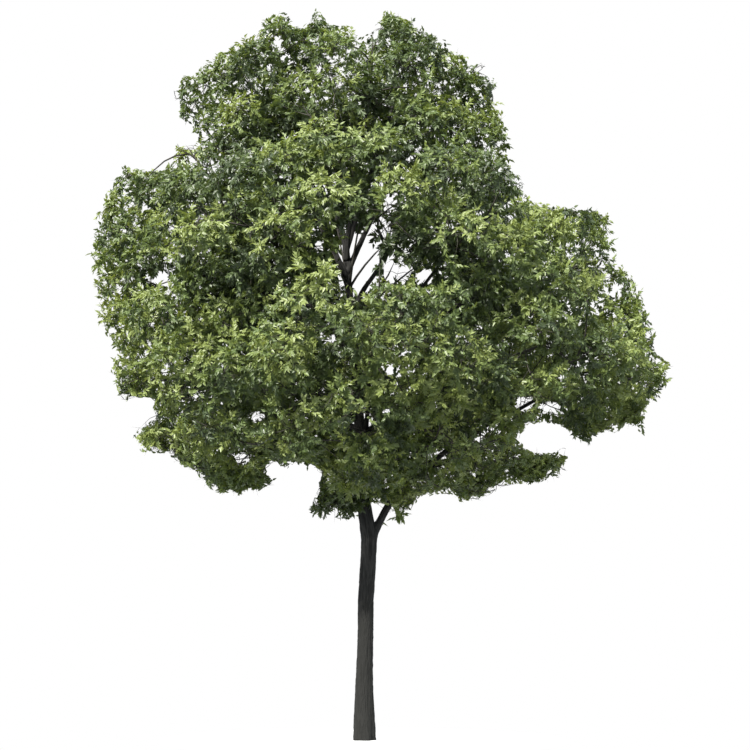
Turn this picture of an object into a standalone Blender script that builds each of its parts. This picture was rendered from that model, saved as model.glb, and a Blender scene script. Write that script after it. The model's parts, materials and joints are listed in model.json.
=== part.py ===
"""Hackberry tree: a trunk, a bough to each mass of foliage, and the masses of twigs and leaves.

Metres, +Z up. The origin is the centre of the flat cut at ground level, and +X is the right of
the crown as its outline was measured.
"""

import math
import random

import bmesh
import bpy
from mathutils import Matrix, Vector
from mathutils.geometry import intersect_point_line

SEED = 11
GAP = 0.0003
GOLDEN_TURN = math.pi * (3.0 - math.sqrt(5.0))
UP = Vector((0.0, 0.0, 1.0))

# Trunk, from the ground cut through its lean to the top fork: height, x, y and radius
TRUNK_LINE = (
    (0.00, 0.000, 0.000, 0.126),
    (0.08, 0.000, 0.000, 0.126),
    (0.90, 0.005, 0.010, 0.126),
    (1.60, 0.024, 0.015, 0.125),
    (2.15, 0.028, 0.008, 0.126),
    (2.85, 0.070, -0.010, 0.126),
    (3.15, 0.081, -0.014, 0.129),
    (3.55, 0.020, -0.006, 0.116),
    (3.80, -0.018, 0.000, 0.110),
    (5.00, -0.075, 0.035, 0.085),
    (6.20, -0.160, 0.020, 0.072),
    (7.30, -0.262, 0.040, 0.060),
)
TRUNK_STEPS = 15
TRUNK_STEP_GROWTH = 1.15
FLARE = 0.050
FLARE_HEIGHT = 0.75
ROOT_LOBES = 5
ROOT_LOBE_DEPTH = 0.10
ROOT_LOBE_HEIGHT = 0.30
CUT_BELOW = 0.02

# Crown outline as seen from the front: height, reach to the left of the trunk's foot and to its right
CROWN_OUTLINE = (
    (3.72, 0.80, 0.45),
    (3.93, 0.95, 1.95),
    (4.12, 2.25, 2.30),
    (4.52, 3.10, 3.42),
    (5.00, 3.92, 3.60),
    (5.25, 3.60, 4.60),
    (5.70, 4.05, 4.65),
    (6.10, 4.20, 5.20),
    (6.45, 4.25, 4.85),
    (7.70, 4.55, 4.50),
    (8.70, 4.45, 4.05),
    (9.08, 4.28, 2.75),
    (9.50, 4.05, 2.42),
    (9.80, 3.08, 2.42),
    (10.85, 3.12, 2.20),
    (11.25, 2.54, 1.83),
    (11.65, 1.85, 1.10),
    (12.04, 1.55, 0.50),
)
DEPTH_SHARE = 0.95

# Tiers of foliage: name, count, height, turn of the first mass, level and upright radius
TIERS = (
    ("skirt", 5, 4.72, 20.0, 1.25, 1.02),
    ("lower", 7, 6.05, -95.0, 1.40, 1.10),
    ("middle", 6, 7.65, 0.0, 1.55, 1.15),
    ("upper", 5, 9.05, -80.0, 1.45, 1.10),
    ("dome", 4, 10.30, -70.0, 1.25, 1.00),
    ("top", 2, 11.20, 5.0, 1.10, 0.88),
)
MASS_SWELL = 1.18
CLEAR_OF_NEXT = 0.004
REACH_STEPS = 12

# Gaps of sky through the crown and into its lower edge: x, height, half width and half height
FRONT_VIEW = Vector((0.17, -26.0, 1.7))
SKY_GAPS = (
    (-0.13, 7.88, 0.29, 0.48),
    (0.53, 7.70, 0.22, 0.16),
    (1.00, 7.62, 0.16, 0.15),
    (0.43, 8.85, 0.15, 0.16),
    (-0.71, 8.16, 0.10, 0.15),
    (3.05, 5.48, 0.20, 0.12),
    (3.03, 4.93, 0.44, 0.22),
    (-1.12, 4.18, 0.42, 0.44),
)

# Boughs: seats on the trunk by height, seats on a bough by share of its length
FIRST_BOUGH = "lower_3"
LEADING_BOUGH = "top_2"
BOUGH_ORDER = ("lower", "skirt", "middle", "top_2", "top_1", "upper", "dome")
FIRST_SEAT = 3.09
NEXT_SEAT = 3.92
LAST_SEAT = 7.12
SEAT_STEP = 0.16
SEATS_ON_BOUGH = (0.32, 0.44, 0.56, 0.68)
FAN_SEATS = {"dome_4": 0.020, "dome_2": 0.054, "dome_1": 0.098, "top_1": 0.140, "dome_3": 0.180}
BOUGH_POINTS = 6
BOUGH_TIP = 0.023
BOUGH_TAPER = 0.0085
BOUGH_COLLAR = (1.22, 1.07)
FORK_SHARE = 0.86
TIP_SHARE = 0.42
RISE_AT_SEAT = 0.42
RISES = {FIRST_BOUGH: 1.1, **dict.fromkeys(FAN_SEATS, 0.0)}
DROOP_AT_TIP = 0.16
KINK = 0.022

# What a bough avoids, and what each costs when its seat is chosen
LEAST_RISE = 0.52
LEVEL_COST = 4.0
LEAST_FORK = 0.50
NARROW_COST = 3.0
WIDEST_FORK = 1.10
WIDE_COST = 1.5
SHORTEST_BOUGH = 0.90
SHORT_COST = 4.0
SIDEWAYS_COST = 1.5
THICK_COST = 0.7
WHORL_TURN = 1.7
WHORL_COST = 0.3
CROWDED_TURN = 0.8
CROWDED_STEPS = 2.5
CROWDED_COST = 1.5
CLOSEST_BOUGHS = 0.02
CLOSE_COST = 5.0
BOUGH_CLEARANCE = 0.10
CLEARANCE_COST = 12.0
CORE_BERTH = 0.52
BOUGH_SAMPLES = 12
SAMPLES_AT_SEAT = 5
REFUSED = 50.0

# Foliage
CROWN_MIDDLE = Vector((0.0, 0.0, 7.4))
TWIGS = 6
TWIG_SHARE = 0.72
TWIG_BASE = 0.020
TWIG_TIP = 0.011
SHORTEST_TWIG = 0.15
TURN_BACK_COST = 0.6
STEM_LENGTH = 0.30
CORE_SHARE = 0.57
CORE_ROUGHNESS = 0.25
CORE_RINGS = 4
CORE_SEGMENTS = 7
LEAF_LENGTH = 0.92
LEAF_WIDTH = 0.58
LEAF_THICKNESS = 0.030
LEAF_WIDEST = 0.40
LEAF_SINK = 0.05
LEAF_DROOP = 0.25
SIDE_LEAVES = (0.62, 0.86)
SIDE_LEAF_ANGLE = 1.15
SIDE_LEAF_TURN = 0.15
SHORTEST_LEAF = 0.54
LEAF_STEP = 0.04
LEAF_TRIES = 6
LEAF_SPREAD = 0.14
BETTER_BY = 0.1

TRUNK_SIDES = 12
BOUGH_SIDES = 6
WELD = 0.00005
PARALLEL = 0.05
BARK_COLOUR = (0.060, 0.058, 0.054, 1.0)
BARK_ROUGHNESS = 0.9
FOLIAGE_COLOUR = (0.085, 0.150, 0.040, 1.0)
FOLIAGE_ROUGHNESS = 0.6


def between(table, value):
    """The row of a table at a value of its first column, read in straight lines."""
    if value <= table[0][0]:
        return table[0][1:]
    for low, high in zip(table, table[1:]):
        if value <= high[0]:
            share = (value - low[0]) / (high[0] - low[0])
            return tuple(a + (b - a) * share for a, b in zip(low[1:], high[1:]))
    return table[-1][1:]


def trunk_at(height):
    """Centre and radius of the trunk at a height."""
    x, y, radius = between(TRUNK_LINE, height)
    flare = FLARE * math.exp(-((height / FLARE_HEIGHT) ** 2))
    return Vector((x, y, height)), radius + flare


def crown_reach(azimuth, height):
    """How far the crown reaches from the axis at a height, towards an azimuth."""
    left, right = between(CROWN_OUTLINE, height)
    side = right if math.cos(azimuth) >= 0.0 else left
    depth = DEPTH_SHARE * 0.5 * (left + right)
    return 1.0 / math.hypot(math.cos(azimuth) / side, math.sin(azimuth) / depth)


def seen_from_front(point):
    """Where a point appears on the upright plane through the trunk."""
    share = -FRONT_VIEW.y / (point.y - FRONT_VIEW.y)
    return FRONT_VIEW + (point - FRONT_VIEW) * share


def in_crown(point):
    """Whether a point is inside the crown, both round its axis and in its outline from the front."""
    seen = seen_from_front(point)
    lowest = min(point.z, seen.z)
    highest = max(point.z, seen.z)
    if lowest < CROWN_OUTLINE[0][0] or highest > CROWN_OUTLINE[-1][0]:
        return False
    left, right = between(CROWN_OUTLINE, seen.z)
    if not -left <= seen.x <= right:
        return False
    azimuth = math.atan2(point.y, point.x)
    return math.hypot(point.x, point.y) <= crown_reach(azimuth, point.z)


def in_sky_gap(point):
    """Whether a point would stand in front of a gap of sky."""
    seen = seen_from_front(point)
    for x, height, half_width, half_height in SKY_GAPS:
        if math.hypot((seen.x - x) / half_width, (seen.z - height) / half_height) < 1.0:
            return True
    return False


class Mass:
    """A mass of foliage and the space that it keeps to."""

    def __init__(self, name, centre, level_radius, upright_radius):
        self.name = name
        self.centre = centre
        self.radii = Vector((level_radius, level_radius, upright_radius)) * MASS_SWELL
        self.planes = []

    def add_plane(self, point, normal):
        """Keep the mass on the side of a plane that its normal points to."""
        self.planes.append((normal.normalized(), point.copy()))

    def depth_of(self, point):
        """Distance of a point from the centre, as a share of the mass's radii."""
        offset = point - self.centre
        return math.sqrt(sum((a / b) ** 2 for a, b in zip(offset, self.radii)))

    def holds(self, point):
        """Whether a point is inside the mass's space and the crown."""
        if self.depth_of(point) > 1.0:
            return False
        if any(normal.dot(point - start) < 0.0 for normal, start in self.planes):
            return False
        return in_crown(point)

    def reach(self, direction):
        """How far the space goes from the mass's centre in a direction."""
        low = 0.0
        high = max(self.radii)
        for _ in range(REACH_STEPS):
            middle = 0.5 * (low + high)
            if self.holds(self.centre + direction * middle):
                low = middle
            else:
                high = middle
        return low


def lay_out_masses():
    """Set the masses out in rings round the crown's middle, each inside the crown's outline."""
    masses = []
    for name, count, height, turn, level_radius, upright_radius in TIERS:
        left, right = between(CROWN_OUTLINE, height)
        half = 0.5 * (left + right)
        for index in range(count):
            azimuth = math.radians(turn + 360.0 * index / count)
            x = 0.5 * (right - left) + (half - level_radius) * math.cos(azimuth)
            y = (DEPTH_SHARE * half - level_radius) * math.sin(azimuth)
            masses.append(Mass(f"{name}_{index + 1}", Vector((x, y, height)), level_radius, upright_radius))
    for mass in masses:
        for other in masses:
            if other is not mass:
                part_masses(mass, other)
    return masses


def part_masses(mass, other):
    """Bound a mass by the plane midway to its neighbour, by their sizes."""
    across = mass.centre - other.centre
    share = other.radii.length / (mass.radii.length + other.radii.length)
    start = other.centre + across * share + across.normalized() * CLEAR_OF_NEXT
    mass.add_plane(start, across)


class Limb:
    """The trunk or a bough, as points with a radius each."""

    def __init__(self, name, points, radii):
        self.name = name
        self.points = points
        self.radii = radii
        self.taken = []
        self.parent = None

    def share_at(self, height):
        """Share of the limb's points at which it reaches a height."""
        for index, (low, high) in enumerate(zip(self.points, self.points[1:])):
            if low.z <= height <= high.z:
                return (index + (height - low.z) / (high.z - low.z)) / (len(self.points) - 1)
        return 1.0

    def at(self, share):
        """Point, radius and direction at a share of the limb's points."""
        place = share * (len(self.points) - 1)
        index = min(int(place), len(self.points) - 2)
        part = place - index
        start = self.points[index]
        end = self.points[index + 1]
        radius = self.radii[index] * (1.0 - part) + self.radii[index + 1] * part
        return start.lerp(end, part), radius, (end - start).normalized()

    def nearest(self, point):
        """Radius of the limb where it comes nearest to a point, and the distance of its line."""
        best = (0.0, math.inf)
        for index in range(len(self.points) - 1):
            near = nearest_on(point, self.points[index], self.points[index + 1])
            radius = max(self.radii[index], self.radii[index + 1])
            distance = (point - near).length
            if distance - radius < best[1] - best[0]:
                best = (radius, distance)
        return best


def nearest_on(point, start, end):
    """The nearest point of a straight stretch to a point."""
    _, share = intersect_point_line(point, start, end)
    return start.lerp(end, min(max(share, 0.0), 1.0))


def bough_line(seat, leaving, mass, rise, rng):
    """Points of a bough from its seat to its tip inside a mass, along a cubic curve with kinks.

    It leaves between the way to its tip and the way of the limb that carries it, nearer to that
    limb's the larger its rise."""
    inward = (seat - mass.centre).normalized()
    tip = mass.centre + inward * mass.reach(inward) * TIP_SHARE
    chord = tip - seat
    third = chord.length / 3.0
    first = seat + (chord.normalized() + leaving * rise).normalized() * third
    second = tip - (chord.normalized() - UP * DROOP_AT_TIP).normalized() * third
    side = chord.cross(UP).normalized()
    points = []
    for index in range(BOUGH_POINTS):
        t = index / (BOUGH_POINTS - 1)
        left = 1.0 - t
        point = seat * left**3 + first * 3 * t * left**2 + second * 3 * t**2 * left + tip * t**3
        sway = KINK * chord.length * math.sin(math.pi * t)
        points.append(point + side * rng.uniform(-sway, sway) + UP * rng.uniform(-sway, sway))
    return points


def line_length(points):
    """Length of a line through points."""
    return sum((after - before).length for before, after in zip(points, points[1:]))


def bough_radii(points):
    """Radii of a bough, with a collar at its seat."""
    length = line_length(points)
    lefts = [length * (1.0 - index / (len(points) - 1)) for index in range(len(points))]
    radii = [BOUGH_TIP + BOUGH_TAPER * left for left in lefts]
    for index, swelling in enumerate(BOUGH_COLLAR):
        radii[index] *= swelling
    return radii


def shape_cost(mass, seat, points):
    """How badly a bough's line leaves its limb: long, level, sharp or sideways costs more."""
    limb, share = seat
    _, radius, along = limb.at(share)
    way = points[-1] - points[0]
    fork = along.angle(points[1] - points[0])
    length = line_length(points)
    cost = length
    cost += LEVEL_COST * max(0.0, LEAST_RISE - way.normalized().z)
    cost += NARROW_COST * max(0.0, LEAST_FORK - fork)
    cost += WIDE_COST * max(0.0, fork - WIDEST_FORK)
    cost += SHORT_COST * max(0.0, SHORTEST_BOUGH - length)
    cost += SIDEWAYS_COST * way.to_2d().angle(mass.centre.to_2d(), 0.0)
    if bough_radii(points)[0] > FORK_SHARE * radius:
        cost += THICK_COST
    return cost


def crowding_cost(seat, points):
    """How much a bough crowds those that leave the same limb."""
    limb, share = seat
    cost = 0.0
    for taken_share, taken_way in limb.taken:
        gap = abs(taken_share - share) * line_length(limb.points)
        turn = taken_way.angle(points[1] - points[0])
        if gap < SEAT_STEP * FORK_SHARE:
            cost += REFUSED if turn < WHORL_TURN else WHORL_COST
        elif gap < SEAT_STEP * CROWDED_STEPS and turn < CROWDED_TURN:
            cost += CROWDED_COST
    return cost


def crossing_cost(mass, masses, limbs, limb, points):
    """How near a bough passes to other limbs and to the hearts of other masses."""
    bough = Limb("", points, bough_radii(points))
    cost = 0.0
    for index in range(1, BOUGH_SAMPLES + 1):
        sample, sample_radius, _ = bough.at(index / BOUGH_SAMPLES)
        for other in limbs:
            if other is limb and index < SAMPLES_AT_SEAT:
                continue
            radius, distance = other.nearest(sample)
            free = distance - radius - sample_radius
            if other.parent is limb and free < CLOSEST_BOUGHS:
                cost += REFUSED if distance > radius else CLOSE_COST
            cost += CLEARANCE_COST * max(0.0, BOUGH_CLEARANCE - free)
        for other in masses:
            if other is not mass:
                cost += max(0.0, CORE_BERTH - other.depth_of(sample))
    return cost


def place_bough(mass, masses, limbs, seats, seed):
    """The bough of one mass, from whichever seat suits it best."""
    rise = RISES.get(mass.name, RISE_AT_SEAT)
    choices = []
    for number, (limb, share) in enumerate(seats):
        point, _, along = limb.at(share)
        points = bough_line(point, along, mass, rise, random.Random(seed))
        cost = shape_cost(mass, (limb, share), points)
        cost += crowding_cost((limb, share), points)
        cost += crossing_cost(mass, masses, limbs, limb, points)
        choices.append((cost, number, points))
    _, number, points = min(choices)
    limb, share = seats[number]
    _, radius, along = limb.at(share)
    radii = bough_radii(points)
    bough = Limb("bough_" + mass.name, points, radii)
    limb.taken.append((share, points[1] - points[0]))
    if share == 1.0:
        points[1] = points[0] + along * (points[1] - points[0]).length
        points[0] = points[0] + along * GAP
        radii[0] = radius
    else:
        radii[0] = min(radii[0], FORK_SHARE * radius)
        bough.parent = limb
    radii[1] = min(radii[1], radii[0])
    return bough


def lay_out_boughs(masses):
    """The trunk, then a bough to each mass from the trunk or from a bough before it."""
    top = TRUNK_LINE[-1][0]
    shares = [(index / TRUNK_STEPS) ** TRUNK_STEP_GROWTH for index in range(TRUNK_STEPS + 1)]
    stations = [trunk_at(top * share) for share in shares]
    trunk = Limb("trunk", [point for point, _ in stations], [radius for _, radius in stations])
    limbs = [trunk]
    count = int((LAST_SEAT - NEXT_SEAT) / SEAT_STEP) + 1
    seats = [(trunk, trunk.share_at(NEXT_SEAT + SEAT_STEP * index)) for index in range(count)]
    kept = {FIRST_BOUGH: [(trunk, trunk.share_at(FIRST_SEAT))], LEADING_BOUGH: [(trunk, 1.0)]}
    order = [mass for tier in BOUGH_ORDER for mass in masses if mass.name.startswith(tier)]
    for number, mass in enumerate(order):
        bough = place_bough(mass, masses, limbs, kept.get(mass.name, seats), SEED * 1000 + number)
        seats += [(bough, share) for share in SEATS_ON_BOUGH]
        limbs.append(bough)
        if mass.name == LEADING_BOUGH:
            kept.update((name, [(bough, share)]) for name, share in FAN_SEATS.items())
    return limbs


def keep_clear_of_limbs(mass, limbs):
    """Bound a mass by a plane beside each stretch of each limb near it, and by its bough's tip."""
    for limb in limbs:
        if limb.name == "bough_" + mass.name:
            mass.tip = limb.points[-1]
            mass.heading = (limb.points[-1] - limb.points[-2]).normalized()
            mass.add_plane(mass.tip + mass.heading * GAP * 0.9, mass.heading)
            continue
        for index in range(len(limb.points) - 1):
            near = nearest_on(mass.centre, limb.points[index], limb.points[index + 1])
            towards = mass.centre - near
            radius = max(limb.radii[index], limb.radii[index + 1])
            mass.add_plane(near + towards.normalized() * (radius + CLEAR_OF_NEXT), towards)


def mesh_object(name, mesh, collection):
    """A new object for a mesh, in a collection."""
    built = bpy.data.objects.new(name, mesh)
    collection.objects.link(built)
    return built


def evaluated_mesh(built):
    """An object's mesh as its modifiers or its curve make it."""
    bpy.context.view_layer.update()
    depsgraph = bpy.context.evaluated_depsgraph_get()
    return bpy.data.meshes.new_from_object(built.evaluated_get(depsgraph))


def limb_object(limb, sides, collection):
    """A limb as a closed tube: a curve with a radius at each point, made a mesh with welded caps."""
    curve = bpy.data.curves.new(limb.name, "CURVE")
    curve.dimensions = "3D"
    curve.bevel_depth = 1.0
    curve.bevel_resolution = sides // 2 - 2
    curve.use_fill_caps = True
    spline = curve.splines.new("POLY")
    spline.points.add(len(limb.points) - 1)
    for place, point, radius in zip(spline.points, limb.points, limb.radii):
        place.co = (*point, 1.0)
        place.radius = radius
    tube = mesh_object(limb.name + "_curve", curve, collection)
    mesh = evaluated_mesh(tube)
    bpy.data.objects.remove(tube)
    model = bmesh.new()
    model.from_mesh(mesh)
    bmesh.ops.remove_doubles(model, verts=model.verts, dist=WELD)
    bmesh.ops.recalc_face_normals(model, faces=model.faces)
    model.to_mesh(mesh)
    model.free()
    return mesh_object(limb.name, mesh, collection)


def shape_root_flare(trunk):
    """Swell the trunk's foot into low lobes, and make the cut at the ground level."""
    for vertex in trunk.data.vertices:
        if vertex.co.z < CUT_BELOW:
            vertex.co.z = 0.0
        centre, _ = trunk_at(vertex.co.z)
        offset = vertex.co - centre
        azimuth = math.atan2(offset.y, offset.x)
        lobe = ROOT_LOBE_DEPTH * math.exp(-vertex.co.z / ROOT_LOBE_HEIGHT)
        scale = 1.0 + lobe * math.cos(ROOT_LOBES * azimuth)
        vertex.co.x = centre.x + offset.x * scale
        vertex.co.y = centre.y + offset.y * scale


def keep_largest_body(mesh):
    """Drop loose scraps and the walls of sealed hollows: every shell but the largest."""
    model = bmesh.new()
    model.from_mesh(mesh)
    unseen = set(model.verts)
    shells = []
    while unseen:
        shell = set()
        border = [next(iter(unseen))]
        while border:
            vertex = border.pop()
            if vertex not in shell:
                shell.add(vertex)
                border += [edge.other_vert(vertex) for edge in vertex.link_edges]
        unseen -= shell
        shells.append(shell)
    largest = max(shells, key=len)
    loose = [vertex for vertex in model.verts if vertex not in largest]
    bmesh.ops.delete(model, geom=loose, context="VERTS")
    model.to_mesh(mesh)
    model.free()


def apply_modifiers(built):
    """Replace an object's mesh by the largest body of what its modifiers make of it."""
    mesh = evaluated_mesh(built)
    built.modifiers.clear()
    built.data = mesh
    keep_largest_body(mesh)


def seat_bough(bough, parent, collection):
    """Cut a bough's foot back to just clear of the limb that carries it."""
    cutter = mesh_object(parent.name + "_cutter", parent.data.copy(), collection)
    model = bmesh.new()
    model.from_mesh(cutter.data)
    model.normal_update()
    for vertex in model.verts:
        vertex.co += vertex.normal * vertex.calc_shell_factor() * GAP
    model.to_mesh(cutter.data)
    model.free()
    cut = bough.modifiers.new("Seat", "BOOLEAN")
    cut.operation = "DIFFERENCE"
    cut.solver = "EXACT"
    cut.object = cutter
    apply_modifiers(bough)
    bpy.data.objects.remove(cutter)


def turned(direction, spin, angle):
    """A direction bent by an angle, towards a spin about itself."""
    side = direction.orthogonal().normalized()
    side.rotate(Matrix.Rotation(spin, 3, direction))
    return (direction * math.cos(angle) + side * math.sin(angle)).normalized()


def placed(direction, flat, origin):
    """The matrix that stands local X along a direction, with local Z near a flat face's normal."""
    across = flat.cross(direction)
    if across.length < PARALLEL:
        across = direction.orthogonal()
    across.normalize()
    normal = direction.cross(across).normalized()
    frame = Matrix((direction, across, normal)).transposed().to_4x4()
    frame.translation = origin
    return frame


def new_piece(name, build, collection):
    """An object from a function that fills a bmesh."""
    mesh = bpy.data.meshes.new(name)
    model = bmesh.new()
    build(model)
    model.to_mesh(mesh)
    model.free()
    return mesh_object(name, mesh, collection)


def twig_piece(start, end, base_radius, tip_radius, collection):
    """A three-sided tapering twig between two points."""
    along = end - start
    frame = along.to_track_quat("Z", "Y").to_matrix().to_4x4()
    frame.translation = start + along * 0.5

    def build(model):
        bmesh.ops.create_cone(
            model,
            cap_ends=True,
            segments=3,
            radius1=base_radius,
            radius2=tip_radius,
            depth=along.length,
            matrix=frame,
        )

    return new_piece("twig", build, collection)


def leaf_frame_points(length):
    """The tip and the two widest points of a leaf, in its own frame."""
    half = 0.5 * LEAF_WIDTH * length / LEAF_LENGTH
    widest = LEAF_WIDEST * length
    return (Vector((length, 0.0, 0.0)), Vector((widest, half, 0.0)), Vector((widest, -half, 0.0)))


def leaf_piece(origin, direction, flat, length, collection):
    """A flat leaf of eight faces, widest near its base."""
    frame = placed(direction, flat, origin)
    tip, wide, _ = leaf_frame_points(length)

    def build(model):
        bmesh.ops.create_uvsphere(model, u_segments=4, v_segments=2, radius=1.0)
        for vertex in model.verts:
            x, y, z = vertex.co
            along = wide.x + (tip.x - wide.x) * max(x, 0.0) + wide.x * min(x, 0.0)
            vertex.co = frame @ Vector((along, wide.y * y, 0.5 * LEAF_THICKNESS * z))

    return new_piece("leaf", build, collection)


def core_piece(mass, rng, collection):
    """The dense heart of a mass: about the same share of its space in every direction."""
    turn = Matrix.Rotation(rng.uniform(0.0, math.pi), 3, turned(UP, rng.uniform(0.0, math.pi), 1.0))

    def build(model):
        bmesh.ops.create_uvsphere(model, u_segments=CORE_SEGMENTS, v_segments=CORE_RINGS, radius=1.0)
        for vertex in model.verts:
            direction = (turn @ vertex.co).normalized()
            distance = CORE_SHARE * mass.reach(direction) * rng.uniform(1.0 - CORE_ROUGHNESS, 1.0)
            while in_sky_gap(mass.centre + direction * distance):
                distance *= CORE_SHARE
            vertex.co = mass.centre + direction * distance

    return new_piece("core", build, collection)


def fits(mass, points):
    """Whether points lie in a mass's space and block no gap of sky."""
    return all(mass.holds(point) and not in_sky_gap(point) for point in points)


def twig_targets(mass, rng):
    """Ends for a mass's twigs: straight out of the crown first, then evenly on all sides."""
    directions = [(mass.centre - CROWN_MIDDLE).normalized()]
    spin = rng.uniform(0.0, 2.0 * math.pi)
    for index in range(TWIGS - 1):
        height = 1.0 - 2.0 * (index + 0.5) / (TWIGS - 1)
        level = math.sqrt(1.0 - height * height)
        azimuth = spin + GOLDEN_TURN * index
        directions.append(Vector((level * math.cos(azimuth), level * math.sin(azimuth), height)))
    return [mass.centre + direction * mass.reach(direction) * TWIG_SHARE for direction in directions]


def twig_cost(place, target):
    """Distance to a target from a place on a twig, more where the way turns back."""
    start, along = place
    way = target - start
    return way.length * (1.0 + TURN_BACK_COST * (1.0 - along.dot(way.normalized())))


def twig_lines(mass, rng):
    """The stem's tip, and twigs that each leave the nearest place on those before them."""
    stem_tip = mass.tip + mass.heading * STEM_LENGTH
    places = [(stem_tip, mass.heading)]
    lines = []
    for target in sorted(twig_targets(mass, rng), key=lambda point: (point - stem_tip).length):
        start, _ = min(places, key=lambda place: twig_cost(place, target))
        checks = [start.lerp(target, share / 4.0) for share in range(5)]
        if (target - start).length > SHORTEST_TWIG and fits(mass, checks):
            lines.append((start, target))
            places.append((start.lerp(target, 0.5), (target - start).normalized()))
    return stem_tip, lines


def leaf_lines(mass, lines, rng):
    """Leaves at each twig's tip and round it, shortened or left out where there is no room."""
    leaves = []
    for start, end in lines:
        along = (end - start).normalized()
        outward = (end - mass.centre).normalized()
        droop = UP * LEAF_DROOP
        wanted = [(end - along * LEAF_SINK, along + outward * 2.0 - droop, UP + outward)]
        spin = rng.uniform(0.0, 2.0 * math.pi)
        for share in SIDE_LEAVES:
            spin += math.pi * rng.uniform(1.0 - SIDE_LEAF_TURN, 1.0 + SIDE_LEAF_TURN)
            side = turned((along + outward).normalized(), spin, SIDE_LEAF_ANGLE)
            wanted.append((start.lerp(end, share), side - droop, UP * 0.6 + outward))
        for origin, heading, flat in wanted:
            leaf = fit_leaf(mass, origin, heading.normalized(), flat.normalized(), rng)
            if leaf:
                leaves.append(leaf)
    return leaves


def fit_leaf(mass, origin, heading, flat, rng):
    """The longest leaf near a heading that stays in the mass's space."""
    best = None
    for number in range(LEAF_TRIES):
        direction = turned(heading, rng.uniform(0.0, 2.0 * math.pi), LEAF_SPREAD * number)
        frame = placed(direction, flat, origin)
        length = LEAF_LENGTH
        while not fits(mass, [frame @ point for point in leaf_frame_points(length)]):
            length -= LEAF_STEP
            if length < SHORTEST_LEAF:
                break
        if length > SHORTEST_LEAF and (best is None or length > best[3] + BETTER_BY):
            best = (origin, direction, flat, length)
    return best


def foliage_object(mass, number, collection):
    """One mass of foliage: its core, stem, twigs and leaves joined into one body."""
    rng = random.Random(SEED * 100 + number)
    pieces = bpy.data.collections.new("pieces")
    bpy.context.scene.collection.children.link(pieces)
    stem_tip, lines = twig_lines(mass, rng)
    foot = mass.tip + mass.heading * GAP
    body = twig_piece(foot, stem_tip + mass.heading * TWIG_BASE, BOUGH_TIP, TWIG_BASE, collection)
    core_piece(mass, rng, pieces)
    for start, end in lines:
        twig_piece(start, end, TWIG_BASE, TWIG_TIP, pieces)
    for origin, direction, flat, length in leaf_lines(mass, lines, rng):
        leaf_piece(origin, direction, flat, length, pieces)
    join = body.modifiers.new("Join", "BOOLEAN")
    join.operation = "UNION"
    join.operand_type = "COLLECTION"
    join.collection = pieces
    join.solver = "EXACT"
    apply_modifiers(body)
    for piece in list(pieces.objects):
        bpy.data.objects.remove(piece)
    bpy.data.collections.remove(pieces)
    body.name = "foliage_" + mass.name
    return body


def material(name, colour, roughness):
    """A plain material."""
    made = bpy.data.materials.new(name)
    made.use_nodes = True
    shader = made.node_tree.nodes["Principled BSDF"]
    shader.inputs["Base Color"].default_value = colour
    shader.inputs["Roughness"].default_value = roughness
    shader.inputs["Metallic"].default_value = 0.0
    return made


def main():
    """Clear the scene and build the tree."""
    for old in list(bpy.data.objects):
        bpy.data.objects.remove(old)
    tree = bpy.data.collections.new("hackberry_tree")
    bpy.context.scene.collection.children.link(tree)
    bark = material("bark", BARK_COLOUR, BARK_ROUGHNESS)
    foliage = material("foliage", FOLIAGE_COLOUR, FOLIAGE_ROUGHNESS)
    masses = lay_out_masses()
    limbs = lay_out_boughs(masses)
    trunk = limb_object(limbs[0], TRUNK_SIDES, tree)
    shape_root_flare(trunk)
    built = {"trunk": trunk}
    for limb in limbs[1:]:
        bough = limb_object(limb, BOUGH_SIDES, tree)
        if limb.parent:
            seat_bough(bough, built[limb.parent.name], tree)
        built[limb.name] = bough
    for wood in built.values():
        wood.data.materials.clear()
        wood.data.materials.append(bark)
    for number, mass in enumerate(masses):
        keep_clear_of_limbs(mass, limbs)
        body = foliage_object(mass, number, tree)
        body.data.materials.clear()
        body.data.materials.append(foliage)


main()
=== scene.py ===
"""Hackberry tree: bark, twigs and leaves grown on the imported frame, and the stage they stand on.

Metres, +Z up, in the frame's own place: the origin is the centre of the trunk's flat cut at the
ground, and +X is the right of the crown. The rule that sets out the masses of foliage and grows
their twigs is the solids' own, written again here and carried on to finer twigs.
"""

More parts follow.
